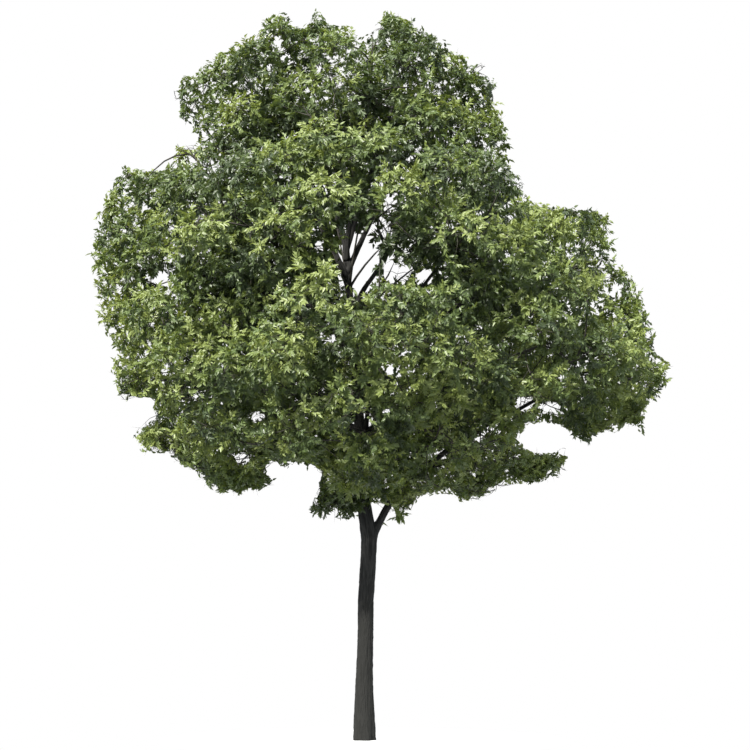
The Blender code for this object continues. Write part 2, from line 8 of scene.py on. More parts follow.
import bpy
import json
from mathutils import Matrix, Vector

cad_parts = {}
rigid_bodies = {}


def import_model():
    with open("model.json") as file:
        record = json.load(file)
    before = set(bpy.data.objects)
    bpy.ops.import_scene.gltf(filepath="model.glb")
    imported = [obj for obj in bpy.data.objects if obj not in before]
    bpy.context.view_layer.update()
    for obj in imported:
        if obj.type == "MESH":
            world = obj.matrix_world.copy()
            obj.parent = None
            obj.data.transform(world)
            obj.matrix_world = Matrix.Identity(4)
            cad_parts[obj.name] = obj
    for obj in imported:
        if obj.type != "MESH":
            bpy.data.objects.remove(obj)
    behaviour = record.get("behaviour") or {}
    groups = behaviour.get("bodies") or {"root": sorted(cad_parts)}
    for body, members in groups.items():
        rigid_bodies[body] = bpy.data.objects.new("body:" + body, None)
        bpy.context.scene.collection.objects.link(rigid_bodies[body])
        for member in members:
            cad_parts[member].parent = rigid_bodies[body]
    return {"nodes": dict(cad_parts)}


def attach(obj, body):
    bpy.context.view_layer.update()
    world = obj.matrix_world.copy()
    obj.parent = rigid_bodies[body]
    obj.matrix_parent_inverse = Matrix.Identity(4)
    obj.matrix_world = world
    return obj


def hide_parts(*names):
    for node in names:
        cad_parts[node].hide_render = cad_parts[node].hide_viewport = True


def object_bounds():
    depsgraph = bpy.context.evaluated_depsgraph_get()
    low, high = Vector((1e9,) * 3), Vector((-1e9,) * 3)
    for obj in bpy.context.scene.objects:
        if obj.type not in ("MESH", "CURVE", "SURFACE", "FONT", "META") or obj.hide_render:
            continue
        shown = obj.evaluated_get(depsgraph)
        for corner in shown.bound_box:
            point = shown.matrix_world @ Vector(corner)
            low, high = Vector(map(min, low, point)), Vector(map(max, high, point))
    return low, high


bl_info = {
    "name": "Hackberry Tree",
    "version": (1, 0, 0),
    "blender": (4, 5, 0),
    "location": "View3D > Sidebar > Hackberry",
    "description": "Bark, twigs and leaves for an open-grown hackberry tree",
    "category": "Object",
}

import copy
import functools
import json
import math
import random

import bpy
import numpy as np
from mathutils import Vector, noise

for old in list(bpy.data.objects):
    bpy.data.objects.remove(old)
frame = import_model()
CAD_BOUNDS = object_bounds()

SEED = 11
UP = np.array((0.0, 0.0, 1.0))
TURN = 2.0 * math.pi
GOLDEN_TURN = math.pi * (3.0 - math.sqrt(5.0))

# Trunk, from the ground cut through its lean to the top fork: height, x, y and radius
TRUNK_LINE = (
    (0.00, 0.000, 0.000, 0.126),
    (0.08, 0.000, 0.000, 0.126),
    (0.90, 0.005, 0.010, 0.126),
    (1.60, 0.024, 0.015, 0.125),
    (2.15, 0.028, 0.008, 0.126),
    (2.85, 0.070, -0.010, 0.126),
    (3.15, 0.081, -0.014, 0.129),
    (3.55, 0.020, -0.006, 0.116),
    (3.80, -0.018, 0.000, 0.110),
    (5.00, -0.075, 0.035, 0.085),
    (6.20, -0.160, 0.020, 0.072),
    (7.30, -0.262, 0.040, 0.060),
)
FLARE = 0.050
FLARE_HEIGHT = 0.75
ROOT_LOBES = 5
ROOT_LOBE_DEPTH = 0.10
ROOT_LOBE_HEIGHT = 0.30

# Crown outline as seen from the front: height, reach to the left of the trunk's foot and to its right
CROWN_OUTLINE = (
    (3.72, 0.80, 0.45),
    (3.93, 0.95, 1.95),
    (4.12, 2.25, 2.30),
    (4.52, 3.10, 3.42),
    (5.00, 3.92, 3.60),
    (5.25, 3.60, 4.60),
    (5.70, 4.05, 4.65),
    (6.10, 4.20, 5.20),
    (6.45, 4.25, 4.85),
    (7.70, 4.55, 4.50),
    (8.70, 4.45, 4.05),
    (9.08, 4.28, 2.75),
    (9.50, 4.05, 2.42),
    (9.80, 3.08, 2.42),
    (10.85, 3.12, 2.20),
    (11.25, 2.54, 1.83),
    (11.65, 1.85, 1.10),
    (12.04, 1.55, 0.50),
)
DEPTH_SHARE = 0.95

# Tiers of foliage: name, count, height, turn of the first mass, level and upright radius
TIERS = (
    ("skirt", 5, 4.72, 20.0, 1.25, 1.02),
    ("lower", 7, 6.05, -95.0, 1.40, 1.10),
    ("middle", 6, 7.65, 0.0, 1.55, 1.15),
    ("upper", 5, 9.05, -80.0, 1.45, 1.10),
    ("dome", 4, 10.30, -70.0, 1.25, 1.00),
    ("top", 2, 11.20, 5.0, 1.10, 0.88),
)
MASS_SWELL = 1.18
CLEAR_OF_NEXT = 0.004
REACH_STEPS = 12

# The view from the front: eye, upward tilt in degrees, middle and distance of the picture at the trunk
FRONT_VIEW = np.array((0.17, -26.0, 1.7))
VIEW_TILT = 8.973
VIEW_COS, VIEW_SIN = math.cos(math.radians(VIEW_TILT)), math.sin(math.radians(VIEW_TILT))
PICTURE_MIDDLE = np.array((0.173, 0.0, 6.022))
PICTURE_REACH = 26.69
AT_TRUNK = np.array((1.0, 0.0, 1.0))

# Gaps of sky through the crown and into its lower edge: x, height, half width and half height
SKY_GAPS = (
    (-0.13, 7.88, 0.29, 0.48), (0.53, 7.70, 0.22, 0.16), (1.00, 7.62, 0.16, 0.15), (0.43, 8.85, 0.15, 0.16),
    (-0.71, 8.16, 0.10, 0.15), (3.05, 5.48, 0.20, 0.12), (3.03, 4.93, 0.44, 0.22),
    (-1.12, 4.18, 0.42, 0.44),
)

# Notches in the crown's edge, as seen from the front: x, height, half width and half height
NOTCHES = (
    (0.09, 11.98, 0.24, 0.44), (-0.46, 12.04, 0.24, 0.26), (-1.06, 12.04, 0.24, 0.28),
    (-3.58, 9.68, 0.46, 0.30), (-3.08, 10.06, 0.24, 0.24), (-4.46, 8.92, 0.18, 0.24),
    (2.98, 9.10, 0.36, 0.25), (3.50, 9.02, 0.44, 0.23), (4.46, 8.14, 0.28, 0.44), (4.92, 7.15, 0.22, 0.30),
    (5.02, 6.56, 0.20, 0.20), (-3.76, 5.38, 0.32, 0.28), (-3.60, 5.28, 0.14, 0.14),
    (-3.60, 5.54, 0.14, 0.12), (-2.86, 9.86, 0.16, 0.14), (-1.50, 4.46, 0.14, 0.16),
    (-0.84, 4.34, 0.15, 0.20), (2.74, 4.98, 0.22, 0.18), (3.34, 4.84, 0.40, 0.15), (2.98, 5.10, 0.38, 0.15),
    (1.16, 3.92, 0.34, 0.15), (0.28, 3.76, 0.22, 0.15),
)

# Small windows through the leaves: x, height, half width and half height
WINDOWS = (
    (-0.44, 7.27, 0.05, 0.09), (0.31, 7.28, 0.05, 0.09), (0.24, 8.42, 0.14, 0.16),
    (-0.57, 7.50, 0.05, 0.08), (-1.16, 7.21, 0.06, 0.07), (1.13, 8.43, 0.07, 0.06),
    (-0.60, 9.08, 0.06, 0.08), (-1.51, 7.85, 0.05, 0.08), (1.62, 6.57, 0.13, 0.09),
    (0.41, 6.10, 0.07, 0.07), (-0.60, 6.62, 0.08, 0.07), (0.36, 5.40, 0.06, 0.08),
    (-0.02, 5.22, 0.13, 0.19), (-0.22, 5.10, 0.05, 0.07), (-1.75, 5.33, 0.11, 0.06),
    (1.25, 4.72, 0.10, 0.06), (1.90, 4.95, 0.07, 0.06), (-2.02, 4.64, 0.11, 0.08), (2.64, 5.56, 0.16, 0.12),
)

# How far leaves may stand out of the solids' box
BOX_SPARE = (0.10, 0.10, 0.02)

# Unevenness of the gaps' edges and of the crown's hanging edge: waves, and step and height of the hem
GAP_WAVES = ((29.0, 13.0), (23.0, -19.0))
GAP_ROUGH = 0.24
NOTCH_ROUGH = 0.28
WINDOW_ROUGH = 0.40
WINDOW_SWELL = 1.40
HEM = ((0.45, 0.10), (0.16, 0.07))
HEM_DROP = -0.05
HEM_ROOM = 0.14

# Clumps that fill the edge as seen from the front: step along it, inset and room
EDGE_STEP = 0.30
EDGE_INSET = 0.26
EDGE_ROOM = 0.36
LOW_EDGE_SHARE = 0.8

# Shoots that stand out of the outline, as seen from the open side: x and height of the tip
SPRIGS = (
    (-3.08, 10.76), (-3.98, 9.68), (-4.04, 5.06), (-3.96, 5.00), (-2.20, 4.10), (-0.70, 3.84), (4.00, 8.72),
    (5.18, 6.12), (3.62, 4.60), (3.50, 4.54), (3.05, 4.44), (-1.46, 4.66), (-1.24, 4.66), (-1.02, 4.66),
    (0.85, 11.95), (-2.45, 11.42), (2.20, 10.95),
)
SPRIG_SHARES = (0.4, 0.7, 1.0)
SPRIG_SIDE_LENGTH = 0.12
SPRIG_INSET = 0.20
SPRIG_DEPTH = 0.4
FRINGE_STEP = 0.11

# The crown's middle and how far the crown goes down from it; twigs of a mass by the solids' rule
CROWN_MIDDLE = np.array((0.0, 0.0, 7.4))
CROWN_DROP = 3.2
TWIGS = 6
TWIG_SHARE = 0.72
SHORTEST_TWIG = 0.15
TURN_BACK_COST = 0.6
STEM_LENGTH = 0.30
BOUGH_SIDES = 6
FOOT_SWELL = 1.14

# Radii of each order of twigs at foot and tip, and how far twigs bend towards the way they leave
TWIG_RADII = {
    "stem": (0.023, 0.018),
    "main": (0.017, 0.010),
    "fan": (0.026, 0.012),
    "low": (0.016, 0.007),
    "clump": (0.011, 0.006),
    "edge": (0.010, 0.006),
    "side": (0.009, 0.005),
    "tuft": (0.0062, 0.0036),
    "side_tuft": (0.0055, 0.0034),
    "sprig": (0.0055, 0.003),
    "sprig_side": (0.004, 0.003),
    "shoot": (0.0032, 0.0012),
}
BEND = 0.45

# Bare twigs of the fan over the top fork: x, y and height of the tip, height of the foot, and lift
FAN_TWIGS = (
    (-0.90, -0.20, 8.70, 7.26, 0.9),
    (-0.52, 0.22, 8.72, 7.36, 0.6),
    (-0.04, -0.22, 8.72, 7.42, 0.5),
    (0.36, 0.20, 8.20, 7.44, 0.4),
    (0.54, -0.22, 7.98, 6.98, -0.4),
    (1.04, 0.15, 7.95, 6.92, 0.1),
)
FAN_BEND = 0.9

# Finer twigs: clumps in a mass, tufts in a clump and shoots in a tuft
CLUMP_TRIES = 3000
CLUMP_INSET = 0.34
LOW_CLUMP_INSET = 0.20
HANGING_BELOW = 5.7
CLUMP_SPACING = 0.70
BILLOW_SPACING = 1.35
BILLOW_PULL = 0.20
HEART_SHARE = 0.42
HEART_HEIGHTS = (5.2, 9.8)
TUFTS = 11
TUFT_REACH = (0.38, 0.38, 0.30)
TUFT_SHRINKS = (1.0, 0.85, 0.7, 0.55)
TUFT_LIFT_FROM = 4.8
TUFT_LIFT_RUN = 1.4
SHOOTS = 5
SHOOT_REACH = 0.20
LEAF_RUN = 0.20
STRAY_SHARE = 0.07
SPARSE_LOW = 0.26
SPARSE_HIGH = 0.04
LEAST_LEAVES = 4

# Leaves: sizes, angles along a shoot in degrees, droop, corners of one as shares, and its faces
LEAF_SIZES = (0.72, 1.15)
LEAF_ANGLES = (66.0, 30.0)
LEAF_DROOP = 0.45
LEAF_CURL = 0.10
LEAF_OUTLINE = ((0.0, 0.0), (0.22, 0.96), (0.60, 0.66), (1.0, 0.0), (0.36, -1.0))
LEAF_FACES = np.array(((0, 2, 1), (0, 3, 2), (0, 4, 3)))
LEAF_CLEARANCE = 0.012

# Unevenness of the leaves' edge by clump and by tuft, and how far it lies in: hanging and elsewhere
RAGGED_CLUMPS = (0.11, 0.08)
RAGGED_TUFTS = (0.12, 0.10)
EDGE_OUT = (0.05, -0.05)

# Tints of painted light and shade, from the shaded inside of the crown to its sunlit outside, and how much
# painted shade darkens them towards the top
TINTS = ("shaded", "deep", "middle", "fresh", "sunlit")
TOP_SHADE = 0.42

# Leaves deep in the crown: fewer and larger, by how near they are to its outside
DEEP_FROM = 0.80
DEEP_TO = 0.50
DEEP_SIZE = 1.40
DEEP_KEPT = 0.60
DEEP_ABOVE = 5.8

# Leafy side twigs on the boughs, and clumps low round the trunk: x, y and height
SIDE_TWIG_STEP = 0.34
SIDE_TWIG_FROM = 0.42
SIDE_TWIG_LENGTH = 0.42
SIDE_TUFTS = 3
SIDE_TUFT_LENGTH = 0.22
LOW_CLUMPS = (
    (-0.50, -0.40, 4.02), (0.10, -0.60, 4.42), (0.80, -0.45, 4.30), (-0.20, -0.75, 4.95),
    (0.62, -0.70, 4.90), (-0.65, 0.35, 4.35), (0.45, 0.55, 4.45), (1.35, -0.55, 4.40), (-0.90, -0.70, 4.90),
    (-1.95, -0.30, 4.34), (1.80, -0.45, 4.20), (-1.38, -0.35, 4.84), (-0.98, -0.30, 4.86),
    (-1.62, 0.15, 4.92), (-1.16, 0.20, 4.84), (2.60, -0.30, 4.50), (-3.80, -0.25, 5.98),
)
HANG_FROM = 0.9

# Columns and steps of the bark's mesh, and how far a bough's foot is carried into its limb
BARK_GRIDS = {"trunk": (128, 0.022), "bough_lower_3": (48, 0.03)}
BOUGH_GRID = (22, 0.055)
FOOT_IN = 0.85

# Bark: the height that lies on the limb's own face, the radius at which it has its full depth,
# the fillet towards a limb it touches as share and least width, and its stretch along the limb
BARK_LEVEL = 0.62
FULL_BARK_RADIUS = 0.13
FILLET = (0.9, 0.012)
GRAIN_STRETCH = 0.22

# The stage: floor, sun and camera
FLOOR_SIDES = 96
FLOOR_HEIGHT = -0.002
WHITE = (1.0, 1.0, 1.0, 1.0)
SUN_WAY = (0.42, 0.76, -0.72)
CAMERA_PLACE = (0.175, -26.0, 1.7)
CAMERA_LENS = 77.65

LOW_TIERS = ("skirt", "lower", "middle")
HIGH_TIERS = ("upper", "dome", "top")


def lengths(vectors):
    """Lengths of vectors."""
    return np.linalg.norm(vectors, axis=-1)


def unit(vectors):
    """Vectors at length one."""
    return vectors / np.maximum(lengths(vectors)[..., None], 1e-9)


def nearest_of(points, place):
    """Number of the point that is nearest to a place."""
    return lengths(points - place).argmin()


def run_along(points):
    """How far each of a line's points is from its first along the line."""
    return np.concatenate(([0.0], np.cumsum(lengths(np.diff(points, axis=0)))))


def share_along(points, start, way):
    """Shares of a straight stretch at which it is nearest to points."""
    return np.clip((points - start) @ way / (way @ way), 0.0, 1.0)


def side_of(vectors):
    """A level direction square to each vector."""
    across = np.cross(vectors, UP)
    upright = lengths(across)[..., None] < 0.05
    return unit(np.where(upright, np.cross(vectors, (1.0, 0.0, 0.0)), across))


# The crown's outline and the masses of foliage


def outline_at(height):
    """Reach of the crown's outline to the left and to the right at each height."""
    heights, lefts, rights = np.array(CROWN_OUTLINE).T
    return np.interp(height, heights, lefts), np.interp(height, heights, rights)


def crown_reach(points):
    """How far the crown reaches from the axis at each point's height, towards the point."""
    left, right = outline_at(points[..., 2])
    azimuth = np.arctan2(points[..., 1], points[..., 0])
    side = np.where(points[..., 0] >= 0.0, right, left)
    depth = DEPTH_SHARE * 0.5 * (left + right)
    return 1.0 / np.hypot(np.cos(azimuth) / side, np.sin(azimuth) / depth)


def seen_level(points):
    """Where points appear on the upright plane through the trunk, as the solids' rule takes it."""
    share = -FRONT_VIEW[1] / (points[..., 1] - FRONT_VIEW[1])
    return FRONT_VIEW + (points - FRONT_VIEW) * share[..., None]


def seen_from_front(points):
    """Where points appear in the picture of a view that is tilted up, as x and height at the trunk."""
    away = points - FRONT_VIEW
    depth = away[..., 1] * VIEW_COS + away[..., 2] * VIEW_SIN
    rise = away[..., 2] * VIEW_COS - away[..., 1] * VIEW_SIN
    place = np.stack((away[..., 0], np.zeros_like(rise), rise), -1)
    return PICTURE_MIDDLE + place * (PICTURE_REACH / depth)[..., None]


def place_seen(places, depths):
    """Points at some depths that appear at places in the picture, given as x and height."""
    across = (places[:, 0] - PICTURE_MIDDLE[0]) / PICTURE_REACH
    rise = (places[:, 1] - PICTURE_MIDDLE[2]) / PICTURE_REACH
    ahead = VIEW_COS - rise * VIEW_SIN
    ways = np.stack((across, ahead, VIEW_SIN + rise * VIEW_COS), 1)
    return FRONT_VIEW + ways * ((depths - FRONT_VIEW[1]) / ahead)[:, None]


def in_crown(points, spare=0.0, view=seen_from_front):
    """Whether points are in the crown, round its axis and from the front, or spare outside it."""
    seen = view(points)
    level = np.array(points)
    level[..., 2] = view(points * AT_TRUNK)[..., 2]
    lowest = np.minimum(level[..., 2], seen[..., 2])
    highest = np.maximum(level[..., 2], seen[..., 2])
    left, right = outline_at(seen[..., 2])
    inside = (lowest >= CROWN_OUTLINE[0][0] - spare) & (highest <= CROWN_OUTLINE[-1][0] + 0.5 * spare)
    inside &= (seen[..., 0] >= -left - spare) & (seen[..., 0] <= right + spare)
    return inside & (np.hypot(points[..., 0], points[..., 1]) <= crown_reach(level) + spare)


def in_sky_gap(points, swell=1.0, gaps=SKY_GAPS, rough=0.0, view=seen_from_front):
    """Whether points would stand in front of a gap of sky, with uneven edges where it is rough."""
    seen = view(points)
    waves = [np.sin(seen[..., 0] * across + seen[..., 2] * up) for across, up in GAP_WAVES]
    swell = swell + rough * waves[0] * waves[1]
    blocked = np.zeros(points.shape[:-1], bool)
    for x, height, half_width, half_height in gaps:
        share = np.hypot((seen[..., 0] - x) / half_width, (seen[..., 2] - height) / half_height)
        blocked |= share < swell
    return blocked


def in_frame_box(points, inset=0.0):
    """Whether points are inside the solids' box, with a little to spare."""
    low, high = (np.array(corner) for corner in CAD_BOUNDS)
    spare = np.array(BOX_SPARE) - inset
    return ((points > low - spare) & (points < high + spare)).all(-1)


class Mass:
    """A mass of foliage and the space that it keeps to."""

    def __init__(self, name, centre, level_radius, upright_radius):
        self.name = name
        self.centre = np.array(centre)
        self.radii = np.array((level_radius, level_radius, upright_radius)) * MASS_SWELL
        self.normals = []
        self.offsets = []

    def add_plane(self, point, normal):
        """Keep the mass on the side of a plane that its normal points to."""
        normal = unit(normal)
        self.normals.append(normal)
        self.offsets.append(normal @ point)

    def holds(self, points, planes=None, view=seen_level):
        """Whether points are inside the mass's space, bounded by its first planes, and the crown."""
        inside = (((points - self.centre) / self.radii) ** 2).sum(-1) <= 1.0
        sides = points @ np.array(self.normals[:planes]).T >= np.array(self.offsets[:planes])
        return inside & sides.all(-1) & in_crown(points, view=view)

    def reach(self, directions):
        """How far the space goes from the mass's centre in each direction."""
        low = np.zeros(len(directions))
        high = np.full(len(directions), self.radii.max())
        for _ in range(REACH_STEPS):
            middle = 0.5 * (low + high)
            held = self.holds(self.centre + directions * middle[:, None])
            low = np.where(held, middle, low)
            high = np.where(held, high, middle)
        return low


def lay_out_masses():
    """Set the masses out in rings round the crown's middle, each inside the crown's outline."""
    masses = []
    for name, count, height, turn, level_radius, upright_radius in TIERS:
        left, right = outline_at(height)
        half = 0.5 * (left + right)
        for index in range(count):
            azimuth = math.radians(turn + 360.0 * index / count)
            x = 0.5 * (right - left) + (half - level_radius) * math.cos(azimuth)
            y = (DEPTH_SHARE * half - level_radius) * math.sin(azimuth)
            masses.append(Mass(f"{name}_{index + 1}", (x, y, height), level_radius, upright_radius))
    sizes = [np.linalg.norm(mass.radii) for mass in masses]
    for mass, size in zip(masses, sizes):
        for other, other_size in zip(masses, sizes):
            if other is not mass:
                across = mass.centre - other.centre
                share = other_size / (size + other_size)
                start = other.centre + across * share + unit(across) * CLEAR_OF_NEXT
                mass.add_plane(start, across)
    return masses


# The limbs: the trunk by the solids' rule, and the boughs as the frame holds them


class Limb:
    """The trunk or a bough, as points with a radius each."""

    def __init__(self, name, points, radii):
        self.name = name
        self.points = np.array(points)
        self.radii = np.array(radii)

    def distances(self, points):
        """Distance of points from the limb's line, and the limb's radius where they are nearest."""
        best = np.full(len(points), np.inf)
        radius = np.zeros(len(points))
        for index in range(len(self.points) - 1):
            start = self.points[index]
            way = self.points[index + 1] - start
            share = share_along(points, start, way)
            distance = lengths(points - start - share[:, None] * way)
            here = self.radii[index] * (1.0 - share) + self.radii[index + 1] * share
            nearer = distance < best
            best = np.where(nearer, distance, best)
            radius = np.where(nearer, here, radius)
        return best, radius

    def nearest(self, point):
        """The place on the limb's line that is nearest to a point."""
        places = []
        for start, end in zip(self.points[:-1], self.points[1:]):
            places.append(start + (end - start) * share_along(point, start, end - start))
        return min(places, key=lambda place: np.linalg.norm(point - place))


def trunk_limb():
    """The trunk's line, with the flare of its foot."""
    table = np.array(TRUNK_LINE)
    heights = table[-1, 0] * np.linspace(0.0, 1.0, 61) ** 1.15
    x, y, radius = (np.interp(heights, table[:, 0], table[:, column]) for column in (1, 2, 3))
    radius = radius + FLARE * np.exp(-((heights / FLARE_HEIGHT) ** 2))
    return Limb("trunk", np.stack((x, y, heights), 1), radius)


def bough_limb(mass):
    """A bough's line and radii, read ring by ring from its solid, from the tip to its cut foot."""
    mesh = frame["nodes"]["bough_" + mass.name].data
    corners = np.zeros(3 * len(mesh.vertices), np.float32)
    mesh.vertices.foreach_get("co", corners)
    points, index = np.unique(corners.reshape(-1, 3).round(5), axis=0, return_inverse=True)
    index = index.ravel()
    next_to = {}
    for face in mesh.polygons:
        around = {int(index[vertex]) for vertex in face.vertices}
        for vertex in around:
            next_to.setdefault(vertex, set()).update(around)
    ring = {int(vertex) for vertex in np.argsort(lengths(points - mass.centre))[:BOUGH_SIDES]}
    seen = set()
    rings = []
    while ring:
        seen |= ring
        rings.append(points[sorted(ring)])
        ring = set().union(*(next_to[vertex] for vertex in ring)) - seen
    whole = [group for group in rings[:-1] if len(group) == BOUGH_SIDES]
    foot = np.concatenate(rings[len(whole) :])
    line = [foot.mean(0)] + [group.mean(0) for group in reversed(whole)]
    radii = [lengths(group - group.mean(0)).mean() for group in reversed(whole)]
    return Limb("bough_" + mass.name, line, [radii[0] * FOOT_SWELL] + radii)


@functools.lru_cache(maxsize=1)
def lay_out_tree():
    """The masses and the limbs, with each mass bounded by its neighbours and by the limbs."""
    masses = lay_out_masses()
    limbs = [trunk_limb()] + [bough_limb(mass) for mass in masses]
    for mass, bough in zip(masses, limbs[1:]):
        mass.neighbours = len(mass.normals)
        mass.tip = bough.points[-1]
        mass.heading = unit(bough.points[-1] - bough.points[-2])
        for limb in limbs:
            if limb is bough:
                mass.add_plane(mass.tip, mass.heading)
                continue
            for index in range(len(limb.points) - 1):
                start = limb.points[index]
                way = limb.points[index + 1] - start
                share = share_along(mass.centre, start, way)
                towards = mass.centre - start - way * share
                radius = max(limb.radii[index], limb.radii[index + 1])
                near = start + way * share + unit(towards) * (radius + CLEAR_OF_NEXT)
                mass.add_plane(near, towards)
    return masses, limbs


# Growth


def spread(count, spins):
    """Directions evenly on all sides, one set for each spin."""
    index = np.arange(count)
    height = 1.0 - 2.0 * (index + 0.5) / count
    level = np.sqrt(1.0 - height * height)
    azimuth = np.asarray(spins)[..., None] + GOLDEN_TURN * index
    upright = np.broadcast_to(height, azimuth.shape)
    return np.stack((level * np.cos(azimuth), level * np.sin(azimuth), upright), -1)


def grow(places, headings, targets, share=0.5):
    """Twigs to targets, nearest first, each from the cheapest place on the stem or an earlier twig.

    Places and headings are rows of open places for each group, and targets a row for each.
    Returns where each twig starts, where it ends and the heading that it leaves."""
    order = np.argsort(lengths(targets - places[:, :1]), axis=1)
    targets = np.take_along_axis(targets, order[..., None], 1)
    rows = np.arange(len(targets))
    starts = []
    leaving = []
    for number in range(targets.shape[1]):
        way = targets[:, number, None] - places
        length = np.maximum(lengths(way), 1e-6)
        along = (headings * way).sum(-1) / length
        best = (length * (1.0 + TURN_BACK_COST * (1.0 - along))).argmin(1)
        starts.append(places[rows, best])
        leaving.append(headings[rows, best])
        twig = way[rows, best]
        places = np.concatenate((places, (starts[-1] + twig * share)[:, None]), 1)
        headings = np.concatenate((headings, unit(twig)[:, None]), 1)
    return np.stack(starts, 1), targets, np.stack(leaving, 1)


class Twigs:
    """Curved twigs of one order: starts, control points, ends, radii, and what each is part of.

    Their group is the number of a mass for a clump's twig, of a clump for a tuft's and of a tuft for
    a shoot."""

    FIELDS = ("starts", "controls", "ends", "radii", "group")

    def __init__(self, starts, ends, leaving, order, group, bend=BEND):
        starts, ends, leaving = (part.reshape(-1, 3) for part in (starts, ends, leaving))
        way = ends - starts
        self.starts = starts
        self.ends = ends
        self.controls = starts + (leaving * bend * lengths(way)[:, None] + way * (1.0 - bend)) * 0.5
        self.radii = np.tile(TWIG_RADII[order], (len(starts), 1))
        self.group = np.broadcast_to(group, len(starts))

    def curve(self, shares):
        """Shares of each twig's length, in one row for all or one for each, and its three points."""
        t = np.broadcast_to(shares, (len(self.starts), np.shape(shares)[-1]))[..., None]
        return t, self.starts[:, None], self.controls[:, None], self.ends[:, None]

    def at(self, shares):
        """Points at shares of each twig's length."""
        t, start, control, end = self.curve(shares)
        left = 1.0 - t
        return start * left**2 + control * 2.0 * left * t + end * t**2

    def headings(self, shares):
        """Directions at shares of each twig's length."""
        t, start, control, end = self.curve(shares)
        return unit((control - start) * (1.0 - t) + (end - control) * t)

    def chosen(self, rows):
        """Some of the twigs as a set of their own."""
        made = copy.copy(self)
        for name in self.FIELDS:
            setattr(made, name, getattr(self, name)[rows])
        return made


def joined(parts):
    """One set of twigs from several."""
    whole = copy.copy(parts[0])
    for name in whole.FIELDS:
        setattr(whole, name, np.concatenate([getattr(part, name) for part in parts]))
    return whole


def with_carriers(twigs, kept):
    """Which twigs are kept, together with the twigs that they grow from."""
    way = twigs.ends - twigs.starts
    places = [twigs.starts + way * share for share in (0.5, 0.6, 1.0)]
    places += list(np.moveaxis(twigs.at(SPRIG_SHARES), 1, 0))
    carriers = {}
    for row in places:
        carriers.update((tuple(place), index) for index, place in enumerate(row.round(6).tolist()))
    starts = [tuple(place) for place in twigs.starts.round(6).tolist()]
    kept = kept.copy()
    for index in np.flatnonzero(kept):
        carrier = carriers.get(starts[index])
        while carrier is not None and not kept[carrier]:
            kept[carrier] = True
            carrier = carriers.get(starts[carrier])
    return kept


def main_twigs(mass, number):
    """A mass's stem and its twigs by the solids' rule."""
    spin = random.Random(SEED * 100 + number).uniform(0.0, TURN)
    directions = np.concatenate((unit(mass.centre - CROWN_MIDDLE)[None], spread(TWIGS - 1, spin)))
    targets = mass.centre + directions * (mass.reach(directions) * TWIG_SHARE)[:, None]
    stem_tip = mass.tip + mass.heading * STEM_LENGTH
    targets = targets[np.argsort(lengths(targets - stem_tip))]
    places = [(stem_tip, mass.heading)]
    lines = []
    for target in targets:
        costs = []
        for place, along in places:
            way = target - place
            costs.append(np.linalg.norm(way) * (1.0 + TURN_BACK_COST * (1.0 - along @ unit(way))))
        start, along = places[int(np.argmin(costs))]
        checks = start + (target - start) * np.linspace(0.0, 1.0, 5)[:, None]
        fits = mass.holds(checks).all() and not in_sky_gap(checks, view=seen_level).any()
        if np.linalg.norm(target - start) > SHORTEST_TWIG and fits:
            lines.append((start, target, along))
            places.append(((start + target) * 0.5, unit(target - start)))
    return stem_tip, lines


def clump_centres(mass, rng):
    """Middles of the clumps of a mass: the outermost first, then wherever most room is left."""
    inside = unit(rng.normal(size=(CLUMP_TRIES, 3))) * rng.uniform(size=(CLUMP_TRIES, 1)) ** (1 / 3)
    tries = mass.centre + inside * mass.radii
    outer = tries + unit(tries - mass.centre) * CLUMP_INSET
    inset = np.where(tries[:, 2] < HANGING_BELOW, LOW_CLUMP_INSET, CLUMP_INSET)[:, None]
    out = tries + unit(tries - CROWN_MIDDLE) * inset
    kept = mass.holds(tries, mass.neighbours, seen_from_front) & in_crown(out) & in_frame_box(out)
    kept &= mass.holds(outer, mass.neighbours, seen_from_front) | (tries[:, 2] < HANGING_BELOW)
    kept &= ~in_sky_gap(tries, 1.5) & ~in_sky_gap(out, 1.2, NOTCHES) & ~in_sky_gap(tries, 1.2, WINDOWS)
    heart = np.hypot(tries[:, 0], tries[:, 1]) < HEART_SHARE * crown_reach(tries)
    heart &= (tries[:, 2] > HEART_HEIGHTS[0]) & (tries[:, 2] < HEART_HEIGHTS[1])
    tries = tries[kept & ~heart]
    outward = unit(mass.centre - CROWN_MIDDLE)
    picked = [int(np.argmax((tries - mass.centre) @ outward))]
    room = lengths(tries - tries[picked[0]])
    billows = 1
    while room.max() > CLUMP_SPACING:
        billows += room.max() > BILLOW_SPACING
        picked.append(int(np.argmax(room)))
        room = np.minimum(room, lengths(tries - tries[picked[-1]]))
    centres = tries[picked]
    away = lengths(centres[:, None] - centres[None, :billows])
    return centres + (centres[away.argmin(1)] - centres) * BILLOW_PULL


def clump_twigs(mass, number, stem_tip, lines, centres):
    """Twigs to the middles of the clumps, each from the cheapest place on the twigs before it."""
    places = [stem_tip]
    headings = [mass.heading]
    for start, end, _ in lines:
        for share in (0.45, 0.7, 1.0):
            places.append(start + (end - start) * share)
            headings.append(unit(end - start))
    grown = grow(np.array(places)[None], np.array(headings)[None], centres[None], 0.6)
    return Twigs(*grown, "clump", number)


def low_clump_twigs(limbs):
    """Twigs from the nearest limbs to the clumps that hang low round the trunk."""
    table = np.array(LOW_CLUMPS)
    ends = place_seen(table[:, (0, 2)], table[:, 1])
    places = np.concatenate([limb.points for limb in limbs])
    starts = []
    for end in ends:
        over = places[(places[:, 2] > end[2]) & (places[:, 2] < end[2] + HANG_FROM)]
        starts.append(over[nearest_of(over, end)])
    starts = np.array(starts)
    return Twigs(starts, ends, unit(ends - starts) + UP * 0.5, "low", 0)


